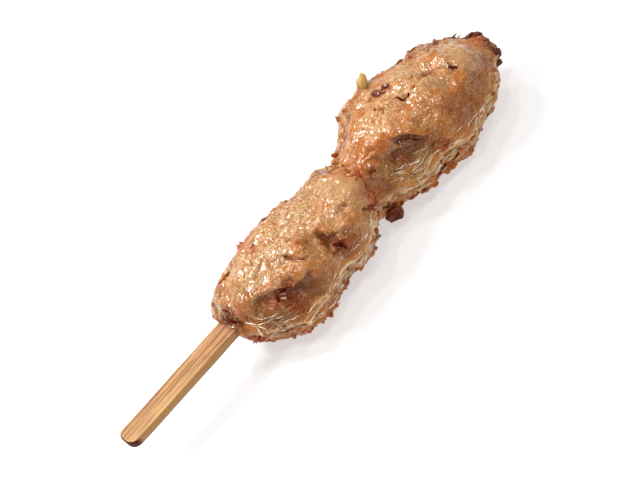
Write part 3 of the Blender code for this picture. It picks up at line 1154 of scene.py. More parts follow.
@dataclass
class MinceLump:
    """One lump: its skin with relief and named spots, its crumbs and its threads of fat."""

    node: str
    slot: str
    seed: int
    start: float
    end: float
    finish: MinceFinish
    spots: tuple[Spot, ...] = ()
    folds: tuple[Fold, ...] = ()
    scraps: tuple[Scrap, ...] = ()
    strands: tuple[Strand, ...] = ()
    zones: LumpZones = LumpZones()
    threads: ThreadCourse = ThreadCourse()
    voxel: float = 0.62 * MM
    fold_noise: float = 2.2 * MM
    spot_noise: float = 2.6 * MM
    zone_noise: float = 9 * MM
    neck_reach: float = 2.2
    pieces: list[bpy.types.Object] = field(default_factory=list)
    bare: BVHTree | None = None

    def on_surface(self, x: float, angle: float) -> Vector:
        """Finds a place on the lump before it has its relief.

        Args:
            x: Distance along the stick, in millimetres.
            angle: Angle round the stick, in degrees.

        Returns:
            The outermost point there, or one near the stick past the lump's ends.
        """
        outside = place(x, angle, OUTSIDE)
        hit = self.bare.ray_cast(outside, place(x, angle, 0) - outside)[0]
        return hit if hit else place(x, angle, 4)

    def sculpt(self, mesh: bpy.types.Mesh) -> None:
        """Raises the folds, lifts the spots and draws the ragged edge over the neck.

        Args:
            mesh: The skin's mesh, which then also stores the lift in millimetres.
        """
        points = points_of(mesh)
        ragged = noise_at(points, self.fold_noise)
        lift = np.zeros(len(points))
        for fold in self.folds:
            lift += fold.lift(points, [self.on_surface(*at) for at in fold.line], ragged)
        for spot in (s for s in self.spots if s.lift):
            away = np.linalg.norm(points - np.array(self.on_surface(spot.x, spot.angle)), axis=1)
            away = np.maximum(away / (spot.reach * MM) + 0.25 * ragged, 0)
            lift += spot.lift * np.exp(-(away**2.2))
        moved = points + normals_of(mesh) * lift[:, None] * MM
        from_neck = (points[:, 0] - ORIGIN.x) / MM - NECK
        near = np.exp(-((from_neck / self.neck_reach) ** 2))
        moved[:, 0] += -np.sign(from_neck) * near * (0.9 + 1.6 * ragged) * MM
        put_points(mesh, moved)
        put_attribute(mesh, "fold", lift)

    def mark_spots(self, mesh: bpy.types.Mesh) -> None:
        """Stores how strongly each kind of spot and each zone shows at each vertex.

        Args:
            mesh: The mesh of the skin or of a piece on it.
        """
        points = points_of(mesh)
        ragged = noise_at(points, self.spot_noise)
        broad = noise_at(points, self.zone_noise, self.seed)
        shows = {}
        for kind in Patch:
            total = np.zeros(len(points))
            for spot in (s for s in self.spots if s.kind is kind):
                away = np.linalg.norm(points - np.array(self.on_surface(spot.x, spot.angle)), axis=1)
                away = np.maximum(away / (spot.reach * MM) * (1 + 0.6 * ragged) + 0.4 * broad, 0)
                total = np.maximum(total, spot.strength * np.exp(-(away**2.5)))
            shows[kind] = np.clip(total, 0, 1)
            put_attribute(mesh, kind.value, shows[kind])
        self.mark_zones(mesh, points, broad, shows)

    def mark_zones(
        self, mesh: bpy.types.Mesh, points: np.ndarray, broad: np.ndarray, shows: dict[Patch, np.ndarray]
    ) -> None:
        """Stores how strongly each zone shows at each vertex.

        Args:
            mesh: The mesh of the skin or of a piece on it.
            points: Its vertices.
            broad: Noise at each vertex, which makes the zones' borders wander.
            shows: How strongly each kind of spot shows at each vertex.
        """
        zones = self.zones
        along, across, up = (points - np.array(ORIGIN)).T
        above_crags = up - zones.crag_height * MM + zones.crag_waves * MM * broad
        below = 1 / (1 + np.exp(above_crags / (zones.crag_blend * MM)))
        angle = np.degrees(np.arctan2(up, across)) % 360
        back = np.exp(-(((angle - zones.back_angle - zones.back_waves * broad) / zones.back_reach) ** 4))
        craggy = np.maximum.reduce((0.6 * shows[Patch.RED], 0.8 * shows[Patch.BROWN], shows[Patch.OLIVE]))
        put_attribute(mesh, "crag", np.maximum.reduce((below, zones.back_share * back, craggy)))
        # The front side's browning: partly toasting, partly painted shade.
        turned = np.where(angle > 270, 0, angle) - zones.toast_shade_angle + zones.toast_shade_waves * broad
        put_attribute(mesh, "toast_and_shade", np.clip(turned / zones.toast_shade_reach, 0, 1))
        height = (up / MM - zones.lip_height + zones.lip_waves * broad) / zones.lip_reach
        outer = np.clip(np.abs(across) / (zones.lip_out * MM) - 0.6, 0, 1)
        put_attribute(mesh, "lip", np.exp(-(height**4)) * outer)
        low = np.clip((points[:, 2] - zones.belly * MM) / (zones.belly_blend * MM), 0, 1)
        in_slot = self.in_slot(along, across, up)
        put_attribute(mesh, "flat", np.maximum(1 - low, in_slot))
        neck = np.exp(-(((along / MM - NECK) / zones.neck_reach) ** 2))
        crumbly = 0.03 + 0.4 * below + 0.2 * np.clip(broad * 2.5, 0, 1) + 1.2 * neck
        crumbly *= np.where((low < 1) | in_slot, 0, 1) * (1 - shows[Patch.CHAR]) * (1 - shows[Patch.ONION])
        put_attribute(mesh, "crumbly", crumbly)

    def in_slot(self, along: np.ndarray, across: np.ndarray, up: np.ndarray) -> np.ndarray:
        """Finds the vertices on the walls of the slot that the stick runs through.

        Args:
            along: How far along the stick each vertex lies from the origin.
            across: How far to the back of its middle line.
            up: How far above its middle line.

        Returns:
            Whether each vertex is on those walls.
        """
        half = (STICK_HIGH - STICK_LOW) / 2
        gap = self.zones.slot_gap * MM
        start, end = (self.start + self.zones.slot_mouth) * MM, (self.end - self.zones.slot_bottom) * MM
        beside = (np.abs(across) < half.y + gap) & (np.abs(up) < half.z + gap)
        return beside & (along > start) & (along < end)

    def skin(self, relief: bpy.types.NodeTree) -> bpy.types.Object:
        """Builds the lump's skin with its relief.

        Args:
            relief: The tree that raises the mince's relief.

        Returns:
            The skin, dressed and standing for the solid.
        """
        skin = even_copy(self.node, self.voxel, 5, 1)
        self.bare = surface_of(skin.data)
        self.sculpt(skin.data)
        self.mark_spots(skin.data)
        run_tree(skin, relief, {"Seed": float(self.seed), "Material": self.finish.material()})
        keep_above_floor(skin.data)
        skin.data.shade_smooth()
        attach(skin, "root")
        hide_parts(self.node)
        self.pieces.append(skin)
        return skin

    def crumbs(self, skin: bpy.types.Object, scatter: bpy.types.NodeTree) -> None:
        """Scatters crumbs over the crumbly places of the skin.

        Args:
            skin: The lump's finished skin.
            scatter: The tree that scatters the crumbs.
        """
        crumbs = new_object(f"{self.node}_crumbs", skin.data.copy())
        run_tree(crumbs, scatter, {"Seed": float(self.seed), "Material": self.finish.material(crumbs=True)})
        for name in ("height", "ridge", "thread", "fold"):
            if name in crumbs.data.attributes:
                crumbs.data.attributes.remove(crumbs.data.attributes[name])
        self.mark_spots(crumbs.data)
        keep_above_floor(crumbs.data)
        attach(crumbs, "root")
        self.pieces.append(crumbs)

    def add_scraps(self) -> None:
        """Shapes the lump's named scraps and sets them on its skin."""
        bm = bmesh.new()
        bmesh.ops.create_icosphere(bm, subdivisions=3, radius=1.0)
        ball = np.array([v.co for v in bm.verts])
        faces = np.array([[v.index for v in f.verts] for f in bm.faces])
        bm.free()
        points, corners, kinds, raised = [], [], [], []
        for index, scrap in enumerate(self.scraps):
            ground = self.on_surface(scrap.x, scrap.angle)
            if scrap.radius:
                ground = place(scrap.x, scrap.angle, scrap.radius)
            corners += (faces + index * len(ball)).tolist()
            shaped = scrap.mesh_points(ball, ground, index + self.seed)
            points += shaped.tolist()
            kinds += [scrap.kind] * len(ball)
            raised += ((shaped - np.array(ground)) @ np.array(scrap.outward()) / MM).tolist()
        mesh = bpy.data.meshes.new(f"{self.node}_scraps")
        mesh.from_pydata(points, [], corners)
        keep_above_floor(mesh)
        mesh.shade_smooth()
        self.mark_spots(mesh)
        shows = np.clip(0.85 + 0.25 * np.array(raised), 0.75, 1.0)
        for kind in Patch:
            put_attribute(mesh, kind.value, shows * np.array([float(k is kind) for k in kinds]))
        mesh.materials.append(self.finish.material())
        piece = new_object(mesh.name, mesh)
        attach(piece, "root")
        self.pieces.append(piece)

    def swept(
        self,
        name: str,
        lines: list[list[Vector]],
        girths: list[float],
        sweep: bpy.types.NodeTree,
        values: dict[str, object],
    ) -> bpy.types.Object:
        """Gives lines over the lump an uneven round section.

        Args:
            name: What the piece is called, after its lump.
            lines: The points of each line.
            girths: How thick each line is, as a share of the thread's radius.
            sweep: The tree that gives them their section.
            values: The tree's inputs by name.

        Returns:
            The lines' piece.
        """
        points, edges, thick = [], [], []
        for line, girth in zip(lines, girths):
            edges += [(len(points) + i, len(points) + i + 1) for i in range(len(line) - 1)]
            points += line
            thick += [girth] * len(line)
        mesh = bpy.data.meshes.new(f"{self.node}_{name}")
        mesh.from_pydata(points, edges, [])
        put_attribute(mesh, "girth", np.array(thick))
        piece = new_object(mesh.name, mesh)
        run_tree(piece, sweep, values)
        return piece

    def add_strands(
        self, skin: bpy.types.Object, sweep: bpy.types.NodeTree, material: bpy.types.Material, dark: bool
    ) -> None:
        """Lays the lump's named strands of one kind.

        Args:
            skin: The lump's finished skin.
            sweep: The tree that gives the strands their section.
            material: Their material.
            dark: Whether the dark strands are laid, which are burnt crust and a painted shadow, or else the
                pale ones, which are fat and painted highlights.
        """
        tree = surface_of(skin.data)
        lines, girths = [], []
        for index, strand in enumerate(s for s in self.strands if s.dark == dark):
            line = []
            lift = -0.35 * strand.radius if dark else 0.04
            for x, angle in strand.steps(index + self.seed):
                outside, middle = place(x, angle, OUTSIDE), place(x, angle, 0)
                hit = tree.ray_cast(outside, middle - outside)[0]
                outward = (outside - middle).normalized()
                line.append(hit + outward * lift * MM if hit else place(x, angle, 7))
            lines.append(line)
            girths.append(strand.radius)
        values = {"Thread Radius": MM, "Material": material}
        # Dark strands are burnt crust and a painted shadow; pale ones are fat and painted highlights.
        strands = self.swept("burnt" if dark else "strands", lines, girths, sweep, values)
        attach(strands, "root")
        self.pieces.append(strands)

    def thread_path(self, tree: BVHTree, chance: random.Random) -> list[Vector]:
        """One thread's way over the skin, along the lip.

        Args:
            tree: The skin's faces, to find its surface.
            chance: The lump's seeded random draw.

        Returns:
            The points of the thread, or none where the skin is missed.
        """
        course = self.threads
        x = chance.uniform(self.start + 5, self.end - 8)
        front = chance.random() < course.in_front
        angle = (180 if front else 0) + (1 if front else -1) * chance.triangular(-10, 30, 7)
        length = chance.triangular(course.shortest, course.longest, course.usual)
        heading = chance.gauss(0, 0.08)
        points = []
        for _ in range(int(length / course.step)):
            heading = 0.8 * heading + chance.gauss(0, 0.13)
            x += course.step * math.cos(heading)
            angle += math.degrees(course.step * math.sin(heading) / course.bend_radius)
            if x > self.end - 3:
                break
            away = (place(x, angle, 1) - place(x, angle, 0)).normalized()
            hit = tree.ray_cast(place(x, angle, OUTSIDE), -away)[0]
            if hit is None or hit.z < 0.6 * MM:
                break
            points.append(hit + away * course.lift * MM)
        return points if len(points) >= course.fewest_points else []

    def fat(self, skin: bpy.types.Object, sweep: bpy.types.NodeTree, material: bpy.types.Material) -> None:
        """Lays threads of fat along the lip and the crags below it.

        Args:
            skin: The lump's finished skin.
            sweep: The tree that gives the threads their section.
            material: The fat's material.
        """
        chance = random.Random(self.seed * 7)
        tree = surface_of(skin.data)
        lines = [self.thread_path(tree, chance) for _ in range(self.threads.count)]
        threads = self.swept("fat", lines, [1.0] * len(lines), sweep, {"Material": material})
        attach(threads, "root")
        self.pieces.append(threads)


NEAR_SPOTS = (
    *spots(
        Patch.SMOOTH,
        (17.1, 127, 6.0, 0.6, 0.5),
        (-31.5, 122, 6.5, 0.9, 0.5),
        (-8.5, 128, 4.2, 0.6, 0.7),
    ),
    *spots(
        Patch.PALE,
        (16.5, 127, 6.0, 0.6),
        (-25.8, 139, 2.2, 0.6, 0.6),
        (5.0, 190, 3.0, 0.8),
    ),
    *spots(
        Patch.AMBER,
        (-8.5, 128, 4.0, 0.6),
        (-12.5, 150, 4.5, 0.45),
        (5.0, 151, 4.0, 0.25),
        (8.0, 111, 4.0, 0.5),
        (14.0, 138, 3.0, 0.5),
        (6.3, 132, 2.6, 0.4),
        (17.5, 78, 4.0, 0.85),
        (11.8, 151, 2.5, 0.5),
        (-14.5, 45, 5.0, 0.7),
        (-32.1, 84, 2.5, 0.6),
        (-34.0, 128, 4.5, 0.35),
        (-23.5, 197, 6.0, 0.7),
        (-19.6, 145, 2.6, 0.8),
        (-11.5, 152, 3.4, 0.6),
        (20.5, 110, 4.0, 0.9),
    ),
    *spots(
        Patch.BROWN,
        (3.9, 156, 1.7, 0.6),
        (-0.8, 147, 3.2, 0.9),
        (-21.8, 165, 6.8, 1.0, -0.6),
        (-36.2, 142, 2.4, 0.9),
        (-29.5, 177, 3.2, 0.9),
        (-28.0, 169, 3.0, 0.9),
        (-21.5, 172, 5.0, 0.8),
        (-29.0, 148, 5.0, 0.8, -0.4),
        (-25.0, 168, 7.0, 0.8),
        (3.0, 163, 5.0, 0.7),
        (-12.0, 172, 6.0, 0.5),
        (-38.6, 100, 3.4, 1.0),
        (-38.4, 125, 3.8, 1.0),
        (-39.0, 40, 3.0, 0.6),
    ),
    *spots(
        Patch.CORAL,
        (-26.2, 141, 2.0, 0.35),
        (-18.3, 56, 2.6, 1.0),
        (-18.2, 82, 2.0, 0.9),
    ),
    *spots(
        Patch.RED,
        (-33.3, 181, 2.4, 0.6),
        (-27.5, 150, 4.0, 0.6),
        (-22.5, 158, 4.0, 0.8),
        (2.0, 168, 3.5, 0.6),
        (-37.1, 194, 4.0, 0.9),
        (-36.6, 132, 2.6, 0.7),
        (21.5, 150, 5.0, 0.9),
        (20.5, 178, 5.0, 0.9),
    ),
    *spots(
        Patch.CHAR,
        (-23.8, 153, 1.8, 0.7, -0.4),
        (0.8, 162, 1.8, 0.9, -1.5),
        (-40.0, 100, 2.0, 0.8),
        (-39.0, 134, 2.0, 0.7),
    ),
    *spots(
        Patch.OLIVE,
        (-14.8, 168, 3.4, 0.85, -0.6),
        (-31.5, 154, 6.0, 0.9),
        (-31.5, 118, 6.5, 0.4),
    ),
)

NEAR_SCRAPS = (
    Scrap(Patch.CORAL, -18.4, 54, 3.8, 2.0, 1.1, 45, 6, 0.8),
    Scrap(Patch.CORAL, -18.6, 48, 2.2, 0.9, 0.8, 215, 34, 0.8),
    Scrap(Patch.RED, -19.3, 49, 2.0, 0.8, 0.7, 240, 22, 0.8),
    Scrap(Patch.CORAL, -17.4, 48, 1.8, 0.8, 0.7, 190, 44, 0.8),
    Scrap(Patch.CORAL, -18.3, 82, 2.4, 1.6, 0.7, 50, 0, 0.8),
    Scrap(Patch.CORAL, -17.2, 76, 1.8, 1.2, 0.6, 20, 0, 0.8),
    Scrap(Patch.RED, -37.0, 194, 5.0, 3.4, 1.8, 150, 10),
    Scrap(Patch.CHAR, -38.2, 82, 2.8, 1.2, 0.7, 90, 0, 0.7),
    Scrap(Patch.CHAR, -38.0, 104, 3.0, 1.2, 0.7, 90, 0, 0.7),
    Scrap(Patch.CHAR, -37.8, 126, 3.0, 1.2, 0.7, 90, 0, 0.7),
    Scrap(Patch.BROWN, -38.4, 150, 2.4, 1.3, 0.9, 70, 0, 0.8),
    Scrap(Patch.AMBER, -38.0, 36, 4.0, 2.2, 1.2, 70),
    Scrap(Patch.AMBER, -30.0, 44, 4.6, 2.2, 1.2, 12),
    Scrap(Patch.BROWN, -8.0, 48, 3.4, 2.2, 1.0, -8),
    Scrap(Patch.AMBER, 1.0, 46, 4.4, 2.2, 1.2, 6),
    Scrap(Patch.BROWN, 18.6, 62, 4.0, 2.2, 1.6, 70),
    Scrap(Patch.AMBER, 17.4, 78, 4.5, 2.0, 1.3, 80),
    Scrap(Patch.AMBER, 20.0, 96, 3.4, 2.0, 1.4, 90),
    Scrap(Patch.RED, 20.8, 128, 3.6, 2.0, 1.3, 90),
    Scrap(Patch.RED, 20.6, 158, 4.0, 2.2, 1.5, 85),
    Scrap(Patch.CORAL, -25.4, 203, 4.6, 2.6, 0.9, 10, 6),
    Scrap(Patch.AMBER, -21.0, 204, 4.2, 2.4, 0.9, -8, 6),
    Scrap(Patch.CORAL, -14.0, 206, 4.2, 2.2, 0.9, -10, 8),
    Scrap(Patch.RED, -6.0, 210, 4.6, 2.4, 1.3, 8),
    Scrap(Patch.AMBER, 3.0, 205, 5.0, 2.2, 1.2, 0),
    Scrap(Patch.OLIVE, 12.0, 201, 4.0, 2.2, 1.2, -15, 20),
)

# The courses of cracks that are both a crease and a dark strand: one on the near lump, two on the far.
SPLIT = ((-14.4, 120), (-13.0, 130), (-12.3, 137), (-10.0, 143))
CRACK = ((49.2, 92), (49.7, 96), (50.6, 98), (50.7, 103), (51.5, 105), (52.4, 105), (53.1, 107), (54.0, 107))
SEAM = ((43.0, 80), (44.4, 90), (45.2, 98))

NEAR_STRANDS = (
    Strand(((-37.0, 146), (-36.4, 154), (-35.2, 161), (-33.0, 165), (-30.6, 166), (-27.6, 170)), 0.2),
    Strand(((-35.8, 162), (-36.4, 172), (-36.4, 184), (-35.4, 194)), 0.22),
    Strand(((-36.6, 158), (-34.6, 170), (-34.6, 180), (-33.0, 188))),
    Strand(((-31.6, 166), (-31.2, 173), (-29.0, 176), (-25.0, 176))),
    Strand(((-34.6, 150), (-33.4, 157), (-30.8, 161), (-28.0, 163)), 0.12),
    Strand(((-36.0, 60), (-38.0, 66), (-39.4, 76), (-39.8, 90)), 0.13),
    Strand(((-37.6, 48), (-39.6, 56), (-40.2, 68)), 0.13),
    # The next three pale strands are painted highlights: glints in the recess and in the pit.
    Strand(((-24.0, 150), (-22.8, 153), (-22.0, 155)), 0.2),
    Strand(((-24.6, 154), (-23.4, 157), (-23.0, 158)), 0.15),
    Strand(((-0.2, 158), (0.6, 161), (0.4, 165)), 0.17),
    Strand(((-37.4, 150), (-38.2, 140), (-38.8, 126), (-39.4, 112)), 0.35, dark=True),
    Strand(SPLIT, 0.13, dark=True),
    Strand(((-0.4, 157), (0.6, 160), (2.0, 163), (1.6, 168)), 0.5, dark=True),
    Strand(((-20.6, 152), (-22.8, 150), (-24.6, 151), (-25.8, 155)), 0.45, dark=True),
)

NEAR_FOLDS = (
    Fold(
        FoldKind.LEDGE,
        (
            (-9.1, 156), (-12.6, 150), (-15.8, 153), (-19.2, 155),
            (-21.6, 149), (-24.8, 139), (-28.9, 135), (-33.9, 130),
        ),
        3.0,
        rise=0.9,
        fall=1.4,
    ),
    Fold(
        FoldKind.LEDGE,
        ((9.0, 158), (5.2, 151), (2.6, 148), (0.0, 140), (-3.0, 131)),
        2.4,
        rise=0.8,
        fall=0.8,
    ),
    Fold(FoldKind.CREASE, ((-1.2, 128), (-0.5, 140), (-1.1, 150), (-2.4, 160)), 1.1, fall=0.9),
    Fold(FoldKind.CREASE, (*SPLIT, (-8.5, 146)), 0.55, fall=1.1),
    Fold(FoldKind.CREASE, ((14.9, 156), (17.5, 166), (19.6, 177)), 0.6, fall=0.9),
    Fold(FoldKind.CREASE, ((13.0, 92), (8.0, 96), (3.0, 102), (-2.0, 104)), 1.3, fall=0.6),
    Fold(FoldKind.CREASE, ((-18.0, 100), (-22.0, 110), (-26.0, 112)), 1.2, fall=0.6),
    Fold(FoldKind.CREASE, ((11.0, 130), (9.5, 142), (10.5, 152)), 1.0, fall=0.7),
)

FAR_SPOTS = (
    *spots(
        Patch.SMOOTH,
        (76.0, 118, 7.5, 0.65, 0.3),
        (60.0, 146, 8.0, 0.6),
    ),
    *spots(
        Patch.PALE,
        (75.5, 116, 6.5, 0.65),
        (37.0, 48, 2.4, 0.7),
        (61.7, 124, 2.6, 0.9),
        (49.0, 52, 2.4, 0.8),
    ),
    *spots(
        Patch.AMBER,
        (83.1, 90, 5.0, 0.8),
        (70.3, 88, 3.5, 0.8),
        (69.1, 135, 2.6, 0.8),
        (54.0, 48, 4.0, 0.7),
        (44.5, 122, 3.6, 0.6),
        (45.2, 141, 2.0, 1.0),
        (47.2, 149, 2.0, 1.0),
        (43.6, 135, 1.8, 1.0),
        (41.2, 130, 2.0, 1.0),
        (39.2, 126, 2.0, 0.9),
        (58.2, 128, 2.6, 0.6),
        (50.0, 120, 2.6, 0.7),
        (38.5, 66, 3.2, 0.8),
        (34.5, 119, 4.0, 0.9),
        (30.0, 97, 4.5, 0.8),
        (62.4, 140, 4.0, 0.5),
        (54.0, 182, 4.5, 0.8),
        (51.0, 213, 6.5, 0.9),
        (37.0, 213, 5.5, 0.8),
        (24.6, 118, 3.6, 0.8),
        (27.4, 104, 3.0, 0.9),
        (28.2, 112, 4.5, 1.0),
        (32.5, 67, 3.2, 1.0),
        (25.0, 84, 5.0, 0.8),
    ),
    *spots(
        Patch.CHAR,
        (48.8, 63, 1.2, 0.8, -1.0),
        (52.4, 71, 1.4, 0.9, -0.9),
        (70.2, 121, 1.5, 0.9, -1.1),
        (26.6, 133, 1.6, 0.7, -0.6),
        (87.4, 104, 1.7, 0.75),
        (89.0, 82, 2.4, 1.0),
        (88.0, 140, 2.2, 0.7),
        (88.7, 220, 3.0, 0.95),
        (24.4, 222, 5.5, 1.0),
    ),
    *spots(
        Patch.RED,
        (50.6, 68, 2.8, 0.9, -0.5),
        (24.0, 117, 4.0, 0.3),
        (33.8, 124, 3.0, 0.3),
        (30.5, 84, 2.2, 0.35),
        (46.4, 131, 1.2, 0.7, 0.2),
    ),
    *spots(
        Patch.BROWN,
        (63.1, 101, 1.0, 0.9, -0.6),
        (79.1, 131, 2.6, 0.6),
        (41.6, 144, 2.2, 0.9, -0.6),
        (43.4, 152, 2.2, 0.9, -0.6),
        (27.5, 142, 4.0, 0.85),
        (27.6, 117, 3.4, 0.7),
        (30.3, 127, 2.8, 0.9, -0.4),
        (27.2, 103, 2.6, 0.65),
        (29.6, 122, 1.8, 0.9, -0.4),
        (31.4, 112, 1.2, 0.8, -0.3),
        (26.6, 100, 1.3, 0.8, -0.4),
        (46.2, 170, 2.0, 0.6, -0.4),
        (27.0, 170, 6.0, 0.6),
        (62.0, 160, 9.0, 0.7),
        (72.0, 152, 7.0, 0.6),
        (47.0, 163, 6.0, 0.6),
        (80.0, 150, 5.0, 0.6),
        (84.4, 114, 2.0, 0.45, -0.3),
        (88.0, 92, 2.6, 0.8),
        (84.0, 30, 5.0, 0.8),
        (76.0, 50, 4.0, 0.9),
        (68.0, 30, 4.0, 0.6),
    ),
    *spots(
        Patch.OLIVE,
        (39.0, 154, 5.6, 0.95, -1.0),
        (33.5, 154, 6.0, 0.85, -0.6),
        (38.0, 168, 6.0, 0.6),
        (36.5, 178, 4.0, 0.8),
    ),
    *spots(
        Patch.CORAL,
        (49.0, 176, 2.6, 0.7),
        (85.6, 108, 3.8, 0.3),
    ),
    *spots(Patch.ONION, (50.0, 46, 2.3, 1.0)),
)

FAR_SCRAPS = (
    Scrap(Patch.ONION, 49.4, 47, 5.4, 1.3, 3.3, 0, 48, 0.45, 21.9),
    Scrap(Patch.CHAR, 87.4, 70, 5.2, 3.2, 1.2, 60, 0, 0.9),
    Scrap(Patch.CHAR, 88.2, 90, 3.6, 2.6, 1.3, 90, 0, 0.9),
    Scrap(Patch.CHAR, 86.0, 56, 4.6, 2.6, 1.0, 20, 0, 0.8),
    Scrap(Patch.BROWN, 82.4, 60, 4.0, 2.0, 0.5, 4, 0, 0.3),
    Scrap(Patch.RED, 87.4, 112, 4.2, 2.2, 1.3, 80),
    Scrap(Patch.BROWN, 87.4, 130, 4.2, 2.6, 1.4, 80),
    Scrap(Patch.BROWN, 86.4, 150, 4.6, 2.8, 1.6, 40),
    Scrap(Patch.CHAR, 87.6, 180, 4.6, 2.8, 1.6, 80),
    Scrap(Patch.CHAR, 88.2, 212, 4.8, 3.4, 2.2, 30, 20),
    Scrap(Patch.CHAR, 86.0, 222, 4.0, 2.8, 2.0, 10, 10),
    Scrap(Patch.BROWN, 76.2, 54, 2.4, 2.0, 1.6, 0, 30, 0.7),
    Scrap(Patch.BROWN, 82.0, 42, 5.6, 2.4, 0.9, 8, -4, 0.5),
    Scrap(Patch.BROWN, 69.0, 38, 6.0, 2.4, 1.2, -5),
    Scrap(Patch.BROWN, 63.0, 40, 5.0, 2.4, 1.2, 8),
    Scrap(Patch.CHAR, 22.9, 220, 5.2, 5.0, 4.2, 10, 20, 1.1),
    Scrap(Patch.CHAR, 21.9, 213, 4.4, 4.2, 3.8, 60, 20, 1.2),
    Scrap(Patch.CHAR, 24.6, 209, 4.0, 3.4, 2.8, 20, 10, 1.2),
    Scrap(Patch.CHAR, 23.4, 226, 2.6, 1.6, 1.6, 60, 30, 1.3),
    Scrap(Patch.CHAR, 21.4, 222, 2.2, 1.4, 1.4, 150, 20, 1.3),
    Scrap(Patch.RED, 46.4, 131, 2.2, 1.3, 0.5, 40),
    Scrap(Patch.RED, 50.2, 66, 1.8, 1.3, 1.0, 40, 0, 1.3),
    Scrap(Patch.CHAR, 51.8, 68, 1.9, 1.1, 0.9, 100, 0, 1.3),
    Scrap(Patch.BROWN, 50.8, 73, 1.8, 1.0, 0.9, 10, 0, 1.3),
    # A painted highlight: a pale bit among the pit's dark scraps.
    Scrap(Patch.PALE, 51.0, 65, 1.3, 0.8, 0.8, 60, 0, 1.2),
    Scrap(Patch.BROWN, 40.6, 143, 2.2, 1.6, 0.8, 30, 0, 1.2),
    Scrap(Patch.BROWN, 36.8, 152, 2.6, 1.6, 0.7, 50, 0, 1.2),
    Scrap(Patch.AMBER, 56.2, 105, 1.8, 1.5, 1.2),
    Scrap(Patch.AMBER, 60.4, 128, 1.8, 1.5, 1.1),
    Scrap(Patch.AMBER, 45.4, 62, 1.8, 1.6, 1.3),
    Scrap(Patch.AMBER, 48.4, 96, 1.4, 1.2, 1.0),
    Scrap(Patch.RED, 48.6, 178, 2.8, 1.6, 1.2, 30),
    Scrap(Patch.RED, 50.6, 172, 2.4, 1.4, 1.2, -30),
    # Painted light: a pale flake in the shade under the lip.
    Scrap(Patch.PALE, 52.4, 209, 5.4, 2.6, 0.9, 10, 6),
    Scrap(Patch.CORAL, 48.8, 210, 4.2, 2.2, 0.9, -8, 8),
    # Painted light: a pale flake in the shade under the lip.
    Scrap(Patch.PALE, 59.5, 202, 5.0, 2.4, 1.2, -8),
    Scrap(Patch.CORAL, 41.5, 209, 5.0, 2.2, 0.9, 14, 6),
    Scrap(Patch.PALE, 45.6, 211, 3.6, 1.8, 0.8, -12, 8),
    # Painted light: a pale flake that fills the shade under the lip.
    Scrap(Patch.PALE, 50.2, 201, 4.8, 2.6, 1.6, 6, 0, 0.8),
    Scrap(Patch.AMBER, 54.0, 198, 4.4, 2.4, 1.4, 4, 0, 0.8),
    Scrap(Patch.RED, 36.4, 213, 4.4, 2.4, 0.9, 20, 8),
    Scrap(Patch.CORAL, 32.6, 216, 3.6, 2.0, 0.9, -10, 8),
    Scrap(Patch.BROWN, 67.0, 202, 5.0, 2.2, 1.2, 0),
    Scrap(Patch.RED, 23.4, 96, 3.8, 2.2, 1.5, 85),
    Scrap(Patch.RED, 23.6, 120, 4.4, 2.6, 1.7, 90),
    Scrap(Patch.BROWN, 25.0, 140, 3.6, 2.2, 1.5, 70),
    Scrap(Patch.AMBER, 22.8, 66, 3.4, 2.0, 1.4, 80, 20),
    Scrap(Patch.AMBER, 25.4, 38, 3.4, 1.8, 0.9, 120, 30),
    Scrap(Patch.PALE, 36.0, 34, 3.0, 1.6, 0.7, 100, 35),
)

FAR_STRANDS = (
    Strand(((29.6, 158), (31.3, 160), (33.6, 165), (34.4, 172)), 0.1),
    Strand(((35.4, 168), (37.2, 165), (39.6, 167), (42.3, 163)), 0.11),
    Strand(((30.6, 171), (32.4, 170), (35.0, 174), (38.6, 172)), 0.1),
    Strand(((40.0, 158), (42.6, 162), (45.6, 163)), 0.09),
    Strand(((32.6, 162), (34.8, 166), (36.2, 163), (38.0, 166)), 0.09),
    Strand(((28.4, 166), (30.6, 167), (32.6, 171), (33.4, 176)), 0.1),
    Strand(((37.4, 170), (39.8, 171), (42.0, 168), (44.6, 170)), 0.1),
    Strand(((33.0, 158), (34.2, 161), (36.6, 160)), 0.08),
    Strand(((36.0, 172), (38.8, 176), (42.6, 174), (46.0, 176)), 0.12),
    Strand(((33.0, 176), (36.0, 180), (40.0, 178)), 0.11),
    # The next five pale strands are painted highlights: glints beside the pits and on the wet ridge.
    Strand(((71.6, 100), (70.6, 106), (69.8, 111), (69.6, 117)), 0.2),
    Strand(((66.2, 84), (65.0, 91), (64.4, 98)), 0.26),
    Strand(((66.8, 90), (65.8, 97), (65.2, 105)), 0.2),
    Strand(((50.4, 65), (51.0, 69), (51.8, 70)), 0.18),
    Strand(((49.2, 66), (49.8, 69), (49.6, 73)), 0.14),
    Strand(CRACK, 0.36, dark=True),
    Strand(((47.4, 68), (48.4, 62), (49.6, 62)), 0.3, dark=True),
    Strand(((52.0, 64), (52.8, 70), (53.0, 76)), 0.36, dark=True),
    Strand(((69.0, 118), (69.9, 119), (70.6, 123), (71.3, 128)), 0.4, dark=True),
    # A painted shadow: this dark strand is the thin shade under the far ledge.
    Strand(((39.4, 132), (41.2, 136), (42.6, 141), (44.2, 149), (45.4, 154)), 0.24, dark=True),
    Strand(SEAM, 0.2, dark=True),
    Strand(((25.6, 134), (27.2, 134), (28.0, 139)), 0.4, dark=True),
)

